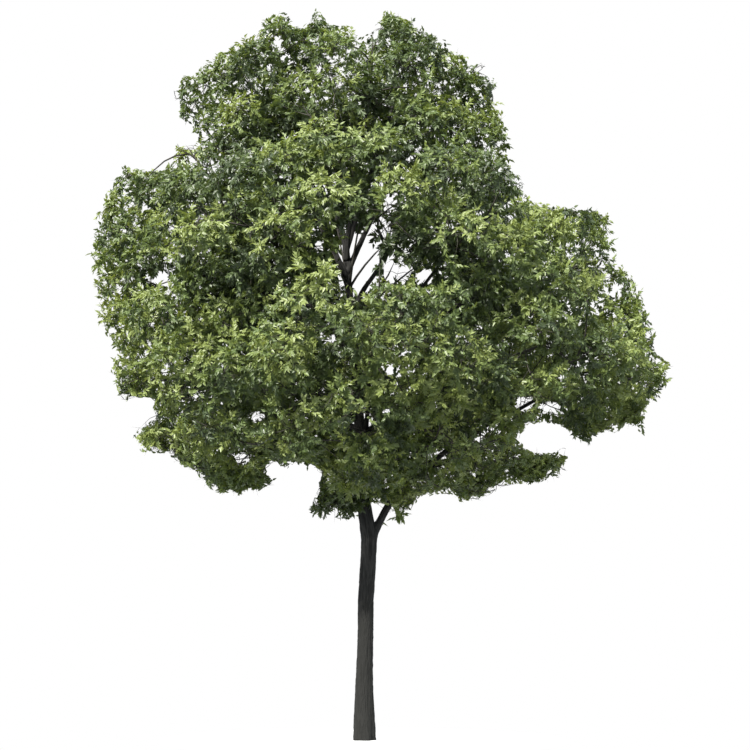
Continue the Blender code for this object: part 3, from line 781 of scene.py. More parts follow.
def fan_twigs(limbs):
    """Bare twigs from the leader, one above another, to their places in the open."""
    leader = next(limb for limb in limbs if limb.name == "bough_top_2")
    line = np.concatenate((limbs[0].points, leader.points))
    line = line[np.argsort(line[:, 2])]
    table = np.array(FAN_TWIGS)
    ends, lift = place_seen(table[:, (0, 2)], table[:, 1]), table[:, 4:]
    feet = place_seen(table[:, (0, 3)], np.zeros(len(table)))[:, 2]
    starts = np.stack([np.interp(feet, line[:, 2], line[:, axis]) for axis in range(3)], 1)
    return Twigs(starts, ends, unit(unit(ends - starts) + UP * lift), "fan", 0, FAN_BEND)


def rim_places(step):
    """Places along the crown's outline as seen from the front, as x and height."""
    heights, lefts, rights = np.array(CROWN_OUTLINE).T
    rim = np.concatenate((np.stack((-lefts, heights), 1)[::-1], np.stack((rights, heights), 1)))
    run = run_along(rim)
    steps = np.arange(step, run[-1], step)
    return np.stack((np.interp(steps, run, rim[:, 0]), np.interp(steps, run, rim[:, 1])), 1)


def edge_clump_twigs(clumps, rng):
    """Twigs to clumps along the crown's edge as seen from the front, where none is near."""
    rim = rim_places(EDGE_STEP)
    points = place_seen(rim, rng.uniform(-0.5, 0.5, len(rim)))
    inset = EDGE_INSET * rng.uniform(0.5, 1.4, (len(points), 1))
    inset *= np.where(points[:, 2:] < HANGING_BELOW, LOW_EDGE_SHARE, 1.0)
    points = points + unit(CROWN_MIDDLE - points) * inset
    points = points[in_crown(points, -0.05) & in_frame_box(points, 0.1)]
    points = points[~in_sky_gap(points, 1.1) & ~in_sky_gap(points, 1.1, NOTCHES)]
    seen = seen_from_front(clumps.ends)
    starts, ends = [], []
    for point in points:
        here = seen_from_front(point[None])[0]
        room = EDGE_ROOM * (LOW_EDGE_SHARE if here[2] < HANGING_BELOW else 1.0)
        if np.hypot(seen[:, 0] - here[0], seen[:, 2] - here[2]).min() > room:
            starts.append(clumps.ends[nearest_of(clumps.ends, point)])
            ends.append(point)
            seen = np.concatenate((seen, here[None]))
    starts, ends = np.array(starts), np.array(ends)
    group = clumps.group[[nearest_of(clumps.ends, end) for end in ends]]
    return Twigs(starts, ends, unit(ends - starts) + UP * 0.3, "edge", group)


def side_twigs(limbs, rng):
    """Short twigs all along the boughs' outer parts, turning round them as they go."""
    starts, ends, leaving, masses = [], [], [], []
    for number, limb in enumerate(limbs[1:]):
        line, _ = smooth_line(limb.points, limb.radii, SIDE_TWIG_STEP)
        ways = unit(np.gradient(line, axis=0))
        first = max(2, int(SIDE_TWIG_FROM * len(line)))
        spin = rng.uniform(0.0, TURN)
        for place, way in zip(line[first:], ways[first:]):
            spin += GOLDEN_TURN
            side = side_of(way)
            away = side * math.cos(spin) + np.cross(way, side) * math.sin(spin)
            heading = unit(away + way * 0.7 + UP * 0.35)
            starts.append(place)
            ends.append(place + heading * SIDE_TWIG_LENGTH * rng.uniform(0.7, 1.3))
            leaving.append(way)
            masses.append(number)
    starts, ends, leaving, masses = (np.array(part) for part in (starts, ends, leaving, masses))
    kept = in_crown(ends, -0.2) & in_frame_box(ends, 0.3) & ~in_sky_gap(ends, 1.25)
    return Twigs(starts[kept], ends[kept], leaving[kept], "side", masses[kept])


def grown_on(twigs, shares, targets, order, first=0):
    """The next order of twigs, to targets round each twig, from places at shares of its length."""
    group = first + np.repeat(np.arange(len(targets)), targets.shape[1])
    return Twigs(*grow(twigs.at(shares), twigs.headings(shares), targets), order, group)


def tuft_twigs(clumps, rng):
    """Twigs to the tufts of each clump, shorter where they would stand out of the crown."""
    count = len(clumps.ends)
    middle = clumps.ends[:, None]
    lift = np.clip((clumps.ends[:, 2:] - TUFT_LIFT_FROM) / TUFT_LIFT_RUN, 0.0, 1.0) * 0.7 - 0.1
    rise = unit(unit(clumps.ends - CROWN_MIDDLE) * 0.8 + UP * lift)
    around = spread(TUFTS, rng.uniform(0.0, TURN, count))
    around = unit(around + rise[:, None] * 0.5)
    size = rng.uniform(0.85, 1.2, (count, 1, 1))
    reach = np.array(TUFT_REACH) * size * rng.uniform(0.8, 1.1, (count, TUFTS, 1))
    targets = middle + around * reach
    margin = np.where(targets[..., 2:] < HANGING_BELOW, 0.02, 0.16)
    lead = unit(targets - CROWN_MIDDLE) * margin
    reach = targets - middle
    shrink = np.full(margin.shape, TUFT_SHRINKS[-1])
    for share in reversed(TUFT_SHRINKS[:-1]):
        outer = middle + reach * share + lead
        free = in_crown(outer) & in_frame_box(outer) & ~in_sky_gap(outer, 1.0, NOTCHES)
        free &= ~in_sky_gap(outer, 0.9, WINDOWS)
        shrink = np.where(free[..., None], share, shrink)
    return grown_on(clumps, (1.0, 0.8, 0.6), middle + reach * shrink, "tuft")


def sprig_twigs(tufts, rng):
    """Sprigs that stand out of the outline and a fringe that hangs under it, with their side twigs."""
    fringe = rim_places(FRINGE_STEP)
    tips = np.concatenate((SPRIGS, fringe[fringe[:, 1] < HANGING_BELOW]))
    ends = place_seen(tips, np.zeros(len(tips)))
    tips = tips[~in_sky_gap(ends) & ~in_sky_gap(ends, 1.0, NOTCHES)]
    ends = place_seen(tips, rng.uniform(-SPRIG_DEPTH, SPRIG_DEPTH, len(tips)))
    ends += unit(CROWN_MIDDLE - ends) * SPRIG_INSET
    near = np.array([nearest_of(tufts.ends, end) for end in ends])
    group = tufts.group[near]
    sprigs = Twigs(tufts.ends[near], ends, tufts.headings((1.0,))[near], "sprig", group)
    around = spread(len(SPRIG_SHARES), rng.uniform(0.0, TURN, len(tips)))
    stands, ways = sprigs.at(SPRIG_SHARES), sprigs.headings(SPRIG_SHARES)
    sides = stands + unit(around + ways) * SPRIG_SIDE_LENGTH
    return [sprigs, Twigs(stands, sides, ways, "sprig_side", np.repeat(group, len(SPRIG_SHARES)))]


def last_shoots(tufts, rng):
    """The shoots round the end of each tuft's twig that stand in the crown, and how far out they are."""
    count = len(tufts.ends)
    way = tufts.headings((1.0,))[:, 0]
    around = spread(SHOOTS, rng.uniform(0.0, TURN, count))
    around = unit(around + way[:, None] * 0.55 + unit(tufts.ends - CROWN_MIDDLE)[:, None] * 0.25)
    reach = SHOOT_REACH * rng.uniform(0.75, 1.25, (count, SHOOTS, 1))
    shoots = grown_on(tufts, (1.0, 0.75, 0.5), tufts.ends[:, None] + around * reach, "shoot")
    middle = shoots.at((0.75,))[:, 0]
    astray = (rng.uniform(size=count) < STRAY_SHARE) & (tufts.ends[:, 2] > HANGING_BELOW)
    hem = np.where(middle[:, 2:] < HANGING_BELOW, HEM_ROOM, 0.0)
    kept = in_crown(middle + UP * hem, -0.02) & in_frame_box(shoots.ends, 0.06)
    kept &= ~in_sky_gap(shoots.ends, 0.95, NOTCHES)
    kept &= ~in_sky_gap(middle, np.where(astray[shoots.group], 0.0, 0.95))
    shoots = shoots.chosen(kept)
    shoots.clump = tufts.group[shoots.group]
    shoots.astray = astray[shoots.group]
    level = np.hypot(shoots.ends[:, 0], shoots.ends[:, 1]) / crown_reach(shoots.ends)
    rise = shoots.ends[:, 2] - CROWN_MIDDLE[2]
    height = np.where(rise > 0.0, rise / (CROWN_OUTLINE[-1][0] - CROWN_MIDDLE[2]), rise / -CROWN_DROP)
    shoots.outness = np.clip(np.hypot(level, height * 0.85), 0.0, 1.0)
    return shoots


@functools.lru_cache(maxsize=1)
def grow_crown():
    """All the twigs of the crown, order by order: stems, main twigs, clumps, tufts and shoots."""
    masses, limbs = lay_out_tree()
    rng = np.random.default_rng(SEED)
    stems, mains, clumps = [], [], []
    for number, mass in enumerate(masses):
        stem_tip, lines = main_twigs(mass, number)
        heading = mass.heading[None]
        stems.append(Twigs(mass.tip[None] - heading * 0.03, stem_tip[None], heading, "stem", number))
        mains.append(Twigs(*(np.array(part) for part in zip(*lines)), "main", number))
        clumps.append(clump_twigs(mass, number, stem_tip, lines, clump_centres(mass, rng)))
    clumps = joined(clumps + [low_clump_twigs(limbs)])
    clumps = joined([clumps, edge_clump_twigs(clumps, rng)])
    tufts = tuft_twigs(clumps, rng)

    sides = side_twigs(limbs, rng)
    around = spread(SIDE_TUFTS, rng.uniform(0.0, TURN, len(sides.ends)))
    targets = sides.ends[:, None] + unit(around + UP * 0.3) * SIDE_TUFT_LENGTH
    side_tufts = grown_on(sides, (1.0, 0.6), targets, "side_tuft", len(clumps.ends))
    tufts = joined([tufts, side_tufts])
    clumps = joined([clumps, sides])

    tufts = joined([tufts] + sprig_twigs(tufts, rng))
    sparse = np.where(tufts.ends[:, 2] < HANGING_BELOW, SPARSE_LOW, SPARSE_HIGH)
    sparse = sparse * 3.0 * (rng.uniform(size=len(clumps.ends)) ** 2)[tufts.group]
    tufts = tufts.chosen(with_carriers(tufts, rng.uniform(size=len(tufts.ends)) >= sparse))
    return joined(stems), joined(mains + [fan_twigs(limbs)]), clumps, tufts, last_shoots(tufts, rng)


# Meshes from arrays


def mesh_piece(name, points, faces, material):
    """A new object from arrays of points and of faces with as many corners each."""
    mesh = bpy.data.meshes.new(name)
    corners = faces.shape[1]
    mesh.vertices.add(len(points))
    mesh.vertices.foreach_set("co", np.ascontiguousarray(points, np.float32).ravel())
    mesh.loops.add(faces.size)
    mesh.loops.foreach_set("vertex_index", np.ascontiguousarray(faces, np.int32).ravel())
    mesh.polygons.add(len(faces))
    mesh.polygons.foreach_set("loop_start", np.arange(0, faces.size, corners, dtype=np.int32))
    mesh.update(calc_edges=True)
    mesh.validate()
    mesh.materials.append(material)
    built = bpy.data.objects.new(name, mesh)
    bpy.context.scene.collection.objects.link(built)
    return built


def tube_arrays(lines, radii):
    """Three-sided tubes along rows of points, closed by a corner at the tip and a face at the foot."""
    count, steps = lines.shape[:2]
    way = unit(lines[:, -1] - lines[:, 0])
    side = side_of(way)
    other = np.cross(way, side)
    turns = TURN * np.arange(3) / 3.0
    rings = side[:, None] * np.cos(turns)[:, None] + other[:, None] * np.sin(turns)[:, None]
    body = lines[:, :-1, None] + rings[:, None] * radii[:, :-1, None, None]
    points = np.concatenate((body.reshape(count, -1, 3), lines[:, -1:]), 1)
    faces = []
    for ring in range(steps - 1):
        for corner in range(3):
            low = 3 * ring + corner
            low_next = 3 * ring + (corner + 1) % 3
            if ring < steps - 2:
                faces.append((low, low_next, low_next + 3))
                faces.append((low, low_next + 3, low + 3))
            else:
                faces.append((low, low_next, 3 * (steps - 1)))
    faces.append((2, 1, 0))
    size = points.shape[1]
    faces = np.array(faces)[None] + (np.arange(count) * size)[:, None, None]
    return points.reshape(-1, 3), faces.reshape(-1, 3)


def twig_arrays(twigs, steps):
    """Points and faces of a set of twigs."""
    shares = np.linspace(0.0, 1.0, steps + 1)
    radii = twigs.radii[:, :1] * (1.0 - shares) + twigs.radii[:, 1:] * shares
    return tube_arrays(twigs.at(shares), radii)


def joined_arrays(parts):
    """Points and faces of several meshes as one."""
    points = np.concatenate([part[0] for part in parts])
    firsts = np.cumsum([0] + [len(part[0]) for part in parts[:-1]])
    faces = np.concatenate([part[1] + first for part, first in zip(parts, firsts)])
    return points, faces


# Leaves


def leaf_sizes(settings):
    """The leaves' sizes as plain numbers."""
    return settings.leaves_on_a_shoot, settings.leaf_length, settings.leaf_width, settings.leaf_fold


def leaves_kept(tips, deep, shoots, rng):
    """Which leaves have their tips in the crown, out of its gaps and clear of the limbs."""
    hanging = shoots.ends[:, 2] < HANGING_BELOW
    ragged = rng.normal(size=shoots.clump.max() + 1)[shoots.clump] * np.where(hanging, *RAGGED_CLUMPS)
    ragged += rng.normal(size=shoots.group.max() + 1)[shoots.group] * np.where(hanging, *RAGGED_TUFTS)
    ragged += np.where(hanging, *EDGE_OUT)
    across_view = seen_from_front(tips)[..., 0]
    hem = HEM_DROP
    for step, height in HEM:
        grid = np.arange(across_view.min(), across_view.max() + step, step)
        hem = hem + height * np.interp(across_view, grid, rng.normal(size=len(grid)))
    hem = np.where(hanging[:, None], hem, 0.0)[..., None]
    kept = in_crown(tips + UP * hem, ragged[:, None]) & in_frame_box(tips)
    kept &= ~in_sky_gap(tips, 0.95, NOTCHES, NOTCH_ROUGH)
    swell = np.where(hanging, 0.97, 1.0)[:, None] + 0.12 * rng.normal(size=kept.shape)
    swell = np.where(shoots.astray[:, None], 0.0, swell)
    kept &= ~in_sky_gap(tips, swell, SKY_GAPS, GAP_ROUGH)
    swell = np.where(shoots.astray, 0.0, WINDOW_SWELL)[:, None] + 0.12 * rng.normal(size=kept.shape)
    kept &= ~in_sky_gap(tips, swell, WINDOWS, WINDOW_ROUGH)
    kept &= rng.uniform(size=kept.shape) > deep * (1.0 - DEEP_KEPT)
    flat = tips.reshape(-1, 3)
    for limb in lay_out_tree()[1]:
        near = np.abs(flat - limb.points.mean(0)).max(1) < np.ptp(limb.points, axis=0).max()
        distance, radius = limb.distances(flat[near])
        inside = np.zeros(len(flat), bool)
        inside[near] = distance < radius + LEAF_CLEARANCE
        kept &= ~inside.reshape(kept.shape)
    return kept & (kept.sum(1, keepdims=True) >= LEAST_LEAVES)


@functools.lru_cache(maxsize=1)
def leaf_arrays(each, leaf_length, leaf_width, leaf_fold):
    """Points of every leaf, five to a leaf, and the shoot that each is on."""
    _, _, clumps, _, shoots = grow_crown()
    rng = np.random.default_rng(SEED + 1)
    count = len(shoots.ends)
    run = np.minimum(LEAF_RUN / lengths(shoots.ends - shoots.starts), 0.92)
    place = (np.arange(each) + rng.uniform(-0.25, 0.25, (count, each))) / (each - 1)
    shares = 1.0 - run[:, None] * (1.0 - np.clip(place, 0.0, 1.0))
    origins = shoots.at(shares)
    along = shoots.headings(shares)
    outward = unit(shoots.ends - CROWN_MIDDLE)
    dome = unit(shoots.ends - clumps.ends[shoots.clump])
    face = unit(UP * 0.38 + outward * 0.60 + dome * 0.45 + rng.normal(size=(count, 3)) * 0.40)
    side = unit(np.cross(along, face[:, None]))
    hand = np.where(np.arange(each) % 2 == 0, 1.0, -1.0)[:, None]
    angle = np.radians(np.linspace(*LEAF_ANGLES, each))[:, None]
    angle = angle + rng.normal(size=(count, each, 1)) * 0.2
    angle[:, -1] *= 0.2
    roll = rng.normal(size=(count, each, 1)) * 0.55
    away = side * hand * np.cos(roll) + face[:, None] * np.sin(roll)
    heading = along * np.cos(angle) + away * np.sin(angle)
    heading = unit(heading - UP * rng.uniform(0.0, LEAF_DROOP, (count, each, 1)))
    normal = face[:, None] + rng.normal(size=(count, each, 3)) * 0.42
    across = unit(np.cross(normal, heading))
    normal = np.cross(heading, across)
    size = leaf_length * rng.uniform(*LEAF_SIZES, (count, each))
    deep = np.clip((DEEP_FROM - shoots.outness) / (DEEP_FROM - DEEP_TO), 0.0, 1.0)[:, None]
    deep *= np.clip(shoots.ends[:, 2:] - DEEP_ABOVE, 0.0, 1.0)
    size *= 1.0 + deep * (DEEP_SIZE - 1.0)
    kept = leaves_kept(origins + heading * size[..., None], deep, shoots, rng)
    points = []
    for x, y in LEAF_OUTLINE:
        wide = y * size * leaf_width * 0.5
        lift = np.abs(wide) * leaf_fold - LEAF_CURL * size * x**2
        point = origins + heading * (x * size)[..., None] + across * wide[..., None]
        points.append(point + normal * lift[..., None])
    shoot = np.broadcast_to(np.arange(count)[:, None], kept.shape)
    return np.stack(points, 2)[kept], shoot[kept]


def leafy_twigs(shoot, clumps, tufts, shoots):
    """The clumps' twigs, the tufts' and the shoots that have leaves or carry others that have."""
    leafy = []
    for twigs in (shoots, tufts, clumps):
        leafy.append(twigs.chosen(with_carriers(twigs, np.isin(np.arange(len(twigs.ends)), shoot))))
        shoot = leafy[-1].group
    return reversed(leafy)


def shoot_tints():
    """Which tint each shoot's leaves have, as painted light and shade: paler towards the light and on the
    tops of clumps, darker inside and towards the crown's top, varied by clump.
    """
    _, _, clumps, tufts, shoots = grow_crown()
    rng = np.random.default_rng(SEED + 2)
    ends = shoots.ends
    # Painted light and shade: leaves paler further out and higher on their clump, darker towards the
    # crown's top.
    rise = ends[:, 2] - clumps.ends[shoots.clump, 2]
    score = 1.1 * shoots.outness + 0.8 * rise + 0.28 * rng.normal(size=len(clumps.ends))[shoots.clump]
    score -= TOP_SHADE * np.clip((ends[:, 2] - CROWN_MIDDLE[2]) / 3.0, 0.0, 1.0)
    score += 0.18 * rng.normal(size=len(tufts.ends))[shoots.group]
    score += 0.10 * rng.normal(size=len(ends))
    ranks = np.argsort(np.argsort(score)) / len(score)
    return np.minimum((ranks * len(TINTS)).astype(int), len(TINTS) - 1)


# Materials


def add_node(tree, kind, **values):
    """A new node, with values for its inputs by name."""
    made = tree.nodes.new("ShaderNode" + kind)
    set_inputs(made, **values)
    return made


def set_inputs(node, **values):
    """Set a node's inputs by name, with _ for a space."""
    for name, value in values.items():
        node.inputs[name.replace("_", " ")].default_value = value


def new_material(name, colour, roughness, **values):
    """A material with a Principled shader, its tree and its output."""
    made = bpy.data.materials.new(name)
    made.use_nodes = True
    tree = made.node_tree
    shader = tree.nodes["Principled BSDF"]
    set_inputs(shader, Base_Color=(*colour, 1.0), Roughness=roughness, **values)
    return made, tree, shader, tree.nodes["Material Output"]


def leaf_material(name, colour, settings):
    """A leaf: a half-glossy face that also lets light through."""
    roughness = settings.leaf_roughness
    made, tree, shader, output = new_material(name, colour, roughness, Specular_IOR_Level=0.70)
    glow = (colour[0] * 1.35 + 0.02, colour[1] * 1.3 + 0.02, colour[2] * 0.7, 1.0)
    through = add_node(tree, "BsdfTranslucent", Color=glow)
    mix = add_node(tree, "MixShader", Fac=settings.leaf_glow)
    tree.links.new(shader.outputs["BSDF"], mix.inputs[1])
    tree.links.new(through.outputs["BSDF"], mix.inputs[2])
    tree.links.new(mix.outputs["Shader"], output.inputs["Surface"])
    return made


def mix_colours(tree, share, first, second=None):
    """A mix of two colours by a share, with the second left to be set where it is none."""
    made = add_node(tree, "Mix")
    made.data_type = "RGBA"
    tree.links.new(share, made.inputs[0])
    tree.links.new(first, made.inputs[6])
    if second:
        tree.links.new(second, made.inputs[7])
    return made


def bark_pattern():
    """The pattern of furrowed bark: grey ridges, dark furrows and pale lichen specks."""
    name = "Furrowed bark"
    if name in bpy.data.node_groups:
        return bpy.data.node_groups[name]
    group = bpy.data.node_groups.new(name, "ShaderNodeTree")
    for socket, way, kind in (
        ("Grain", "INPUT", "Vector"),
        ("Relief", "INPUT", "Float"),
        ("Ridge", "INPUT", "Color"),
        ("Furrow", "INPUT", "Color"),
        ("Lichen", "INPUT", "Color"),
        ("Colour", "OUTPUT", "Color"),
        ("Height", "OUTPUT", "Float"),
    ):
        group.interface.new_socket(name=socket, in_out=way, socket_type="NodeSocket" + kind)
    link = group.links.new
    given = group.nodes.new("NodeGroupInput").outputs
    wanted = group.nodes.new("NodeGroupOutput").inputs

    def texture(scale, detail, roughness):
        made = add_node(group, "TexNoise", Scale=scale, Detail=detail, Roughness=roughness)
        link(given["Grain"], made.inputs["Vector"])
        return made.outputs["Fac"]

    def ramp(value, low, high):
        made = add_node(group, "MapRange", From_Min=low, From_Max=high)
        link(value, made.inputs["Value"])
        return made.outputs["Result"]

    fine = texture(95.0, 5.0, 0.65)
    patches = texture(9.0, 3.0, 0.5)
    specks = texture(42.0, 3.0, 0.6)
    rough = group.nodes.new("ShaderNodeMath")
    rough.operation = "MULTIPLY_ADD"
    rough.inputs[1].default_value = 0.35
    link(fine, rough.inputs[0])
    link(given["Relief"], rough.inputs[2])
    height = rough.outputs[0]
    colour = mix_colours(group, ramp(height, 0.25, 0.95), given["Furrow"], given["Ridge"]).outputs[2]
    pale = group.nodes.new("ShaderNodeMath")
    pale.operation = "MULTIPLY"
    link(ramp(specks, 0.58, 0.70), pale.inputs[0])
    link(ramp(patches, 0.45, 0.65), pale.inputs[1])
    colour = mix_colours(group, pale.outputs[0], colour, given["Lichen"]).outputs[2]
    link(colour, wanted["Colour"])
    link(height, wanted["Height"])
    return group


def bark_material(name, settings, painted_foot_shade):
    """Furrowed bark, darkened towards the ground by painted shade where asked for."""
    made, tree, shader, _ = new_material(name, settings.ridge_colour, 0.88, Specular_IOR_Level=0.25)
    nodes, link = tree.nodes, tree.links.new
    grain = nodes.new("ShaderNodeAttribute")
    grain.attribute_name = "grain"
    relief = nodes.new("ShaderNodeAttribute")
    relief.attribute_name = "relief"
    pattern = nodes.new("ShaderNodeGroup")
    pattern.node_tree = bark_pattern()
    link(grain.outputs["Vector"], pattern.inputs["Grain"])
    link(relief.outputs["Fac"], pattern.inputs["Relief"])
    for socket in ("Ridge", "Furrow", "Lichen"):
        pattern.inputs[socket].default_value = (*getattr(settings, socket.lower() + "_colour"), 1.0)
    colour = pattern.outputs["Colour"]
    # Painted shade: from 3 m down to 1.7 m the trunk's bark fades towards a darker grey, where sun and the
    # bright floor light it.
    if painted_foot_shade:
        place = add_node(tree, "TexCoord")
        split = add_node(tree, "SeparateXYZ")
        fade = add_node(tree, "MapRange", From_Min=3.0, From_Max=1.7, To_Max=0.85)
        link(place.outputs["Object"], split.inputs["Vector"])
        link(split.outputs["Z"], fade.inputs["Value"])
        blend = mix_colours(tree, fade.outputs["Result"], colour)
        blend.inputs[7].default_value = (*settings.moss_colour, 1.0)
        colour = blend.outputs[2]
    link(colour, shader.inputs["Base Color"])
    bump = add_node(tree, "Bump", Strength=0.6, Distance=0.004)
    link(pattern.outputs["Height"], bump.inputs["Height"])
    link(bump.outputs["Normal"], shader.inputs["Normal"])
    return made


# Bark


def smooth_line(points, radii, step):
    """A limb's line through its points as an even, rounded curve, and its radii there."""
    ends = np.concatenate(([2 * points[0] - points[1]], points, [2 * points[-1] - points[-2]]))
    rows = []
    widths = []
    for index in range(len(points) - 1):
        before, start, end, after = ends[index : index + 4]
        count = max(1, int(round(np.linalg.norm(end - start) / step)))
        for part in range(count):
            t = part / count
            row = 2 * start + (end - before) * t
            row = row + (2 * before - 5 * start + 4 * end - after) * t**2
            row = row + (3 * start - before - 3 * end + after) * t**3
            rows.append(0.5 * row)
            widths.append(radii[index] * (1 - t) + radii[index + 1] * t)
    rows.append(points[-1])
    widths.append(radii[-1])
    return np.array(rows), np.array(widths)


def ring_sides(line):
    """Two directions square to the line at each of its points, turning as little as they can."""
    ways = unit(np.gradient(line, axis=0))
    side = np.cross(ways[0], (0.0, 1.0, 0.0))
    if np.linalg.norm(side) < 0.2:
        side = np.cross(ways[0], (1.0, 0.0, 0.0))
    sides = []
    for way in ways:
        side = unit(side - way * (side @ way))
        sides.append(side)
    sides = np.array(sides)
    return sides, np.cross(ways, sides)


def furrows(around, along, radius, spacing):
    """Height of the bark, 0 in its furrows and 1 on its ridges, at a place on a limb."""
    wander = noise.noise(Vector((around[0] * 1.3, around[1] * 1.3, along * 1.1)))
    reach = radius / spacing
    place = Vector((around[0] * reach, around[1] * reach, along * 2.6 + wander * 0.6))
    ridges = 1.0 - abs(noise.noise(place + Vector((wander, -wander, 0.0)) * 1.2)) * 2.6
    warts = noise.noise(Vector((around[0] * reach * 2.3, around[1] * reach * 2.3, along * 17.0)))
    breaks = noise.noise(Vector((around[0] * reach * 0.8, around[1] * reach * 0.8, along * 9.0 + 7.0)))
    return min(max(0.5 * ridges + 0.25 + 0.30 * warts + 0.28 * breaks, 0.0), 1.0)


def circle(sides):
    """Points evenly round a circle of radius one."""
    turns = TURN * np.arange(sides) / sides
    return np.stack((np.cos(turns), np.sin(turns)), 1)


def bark_arrays(limb, others, settings):
    """Points, faces, relief and grain of a limb's bark, drawn out to meet the limbs it touches."""
    columns, step = BARK_GRIDS.get(limb.name, BOUGH_GRID)
    line, radii = smooth_line(limb.points, limb.radii, step)
    sides, crosses = ring_sides(line)
    around = circle(columns)
    rings = sides[:, None] * around[:, :1] + crosses[:, None] * around[:, 1:]
    run = run_along(line)
    salt = 3.7 * (sum(map(ord, limb.name)) % 17)
    relief = np.array(
        [
            [furrows(pair, along + salt, radius, settings.furrow_spacing) for pair in around]
            for along, radius in zip(run, radii)
        ]
    )
    points = line[:, None] + rings * radii[:, None, None]
    if limb.name == "trunk":
        azimuth = np.arctan2(rings[..., 1], rings[..., 0])
        lobe = ROOT_LOBE_DEPTH * np.exp(-line[:, 2:3] / ROOT_LOBE_HEIGHT) * np.cos(ROOT_LOBES * azimuth)
        points = line[:, None] + rings * (radii[:, None] * (1.0 + lobe))[..., None]
    deep = settings.relief * np.minimum(radii / FULL_BARK_RADIUS, 1.0) ** 0.7
    out = (relief - BARK_LEVEL) * deep[:, None]
    flat = points.reshape(-1, 3)
    fillet = np.zeros(len(flat))
    for other in others:
        distance, radius = other.distances(flat)
        width = FILLET[0] * np.minimum(radius, np.repeat(radii, columns)) + FILLET[1]
        close = np.maximum(width - np.abs(distance - radius), 0.0)
        fillet = np.maximum(fillet, close**2 / (4.0 * width))
    points = points + rings * (out + fillet.reshape(out.shape))[..., None]
    if limb.name == "trunk":
        points[0, :, 2] = 0.0
    rows = len(line)
    corner = np.arange(rows * columns).reshape(rows, columns)
    turned = np.roll(corner, -1, axis=1)
    quads = np.stack((corner[:-1], turned[:-1], turned[1:], corner[1:]), -1).reshape(-1, 4)
    halves = np.concatenate((quads[:, (0, 1, 2)], quads[:, (0, 2, 3)]))
    caps = [np.stack((turned[0], corner[0], np.full(columns, rows * columns)), 1)]
    caps.append(np.stack((corner[-1], turned[-1], np.full(columns, rows * columns + 1)), 1))
    ends = np.stack((points[0].mean(0), points[-1].mean(0)))
    along = np.broadcast_to((run * GRAIN_STRETCH)[:, None, None], (rows, columns, 1))
    grain = np.concatenate((around[None] * radii[:, None, None], along), -1)
    grain = np.concatenate((grain.reshape(-1, 3), np.zeros((2, 3)))) + salt
    relief = np.concatenate((relief.ravel(), (0.5, 0.5)))
    return np.concatenate((points.reshape(-1, 3), ends)), np.concatenate([halves] + caps), relief, grain


def bark_piece(name, parts, material):
    """One object from the bark of several limbs."""
    points, faces = joined_arrays(parts)
    built = mesh_piece(name, points, faces, material)
    kinds = (("relief", "FLOAT", "value"), ("grain", "FLOAT_VECTOR", "vector"))
    for part, (title, kind, field) in enumerate(kinds, 2):
        values = np.concatenate([arrays[part] for arrays in parts]).astype(np.float32)
        built.data.attributes.new(title, kind, "POINT").data.foreach_set(field, values.ravel())
    built.data.shade_smooth()
    return built


def set_in(limb, others):
    """A bough with its foot carried on into the limb that it grows from."""
    foot = limb.points[0]
    best = min(others, key=lambda other: float(np.subtract(*other.distances(foot[None]))[0]))
    distance, radius = (float(part[0]) for part in best.distances(foot[None]))
    start = foot - unit(limb.points[1] - foot) * distance * 1.2
    start += (best.nearest(start) - start) * FOOT_IN
    radii = np.concatenate((limb.radii[:1], limb.radii))
    radii[:2] = np.minimum(radii[:2], (0.7 * radius, 0.85 * radius))
    return Limb(limb.name, np.concatenate((start[None], limb.points)), radii)


# Settings


def size_setting(name, description, default, **more):
    """A setting with one value."""
    return bpy.props.FloatProperty(name=name, description=description, default=default, **more)


def colour_setting(name, description, *colour):
    """A setting with a colour."""
    words = {"name": name, "description": description}
    return bpy.props.FloatVectorProperty(**words, subtype="COLOR", default=colour)


class HackberryBark(bpy.types.PropertyGroup):
    """Sizes and colours of the bark."""

    relief: size_setting("Relief", "Depth of the bark's furrows", 0.013, unit="LENGTH")
    furrow_spacing: size_setting("Furrow spacing", "Distance between furrows", 0.034, unit="LENGTH")
    ridge_colour: colour_setting("Ridge colour", "Colour of the ridges", 0.038, 0.0375, 0.036)
    furrow_colour: colour_setting("Furrow colour", "Colour of the furrows", 0.015, 0.0147, 0.0143)
    lichen_colour: colour_setting("Lichen colour", "Colour of pale specks", 0.060, 0.061, 0.056)
    # Painted shade: the darker grey that the trunk's bark takes towards the ground.
    moss_colour: colour_setting("Moss colour", "Tint near the ground", 0.009, 0.0093, 0.0083)
    twig_colour: colour_setting("Twig colour", "Colour of young twigs", 0.034, 0.030, 0.024)


class HackberryFoliage(bpy.types.PropertyGroup):
    """Sizes and colours of the leaves."""

    leaf_length: size_setting("Leaf length", "Length of a full leaf", 0.085, unit="LENGTH")
    leaf_width: size_setting("Leaf width", "Width as a share of the length", 0.50)
    leaf_fold: size_setting("Leaf fold", "Rise of the edges over the midrib", 0.35)
    leaves_on_a_shoot: bpy.props.IntProperty(
        name="Leaves on a shoot", description="Leaves on each last shoot", default=14
    )
    leaf_roughness: size_setting("Leaf roughness", "Roughness of the upper face", 0.46)
    leaf_glow: size_setting("Leaf glow", "Share of light that passes through", 0.30)
    # The tints are lit and shaded copies of one green: painted shade inside the crown and on the lower
    # side, painted light towards the outside.
    shaded_tint: colour_setting("Shaded leaves", "Leaves inside the crown", 0.052, 0.078, 0.030)
    deep_tint: colour_setting("Deep leaves", "Leaves on the lower side", 0.080, 0.116, 0.040)
    middle_tint: colour_setting("Middle leaves", "Most leaves", 0.114, 0.160, 0.052)
    fresh_tint: colour_setting("Fresh leaves", "Leaves near the outside", 0.158, 0.208, 0.060)
    sunlit_tint: colour_setting("Sunlit leaves", "Outermost leaves", 0.215, 0.265, 0.080)


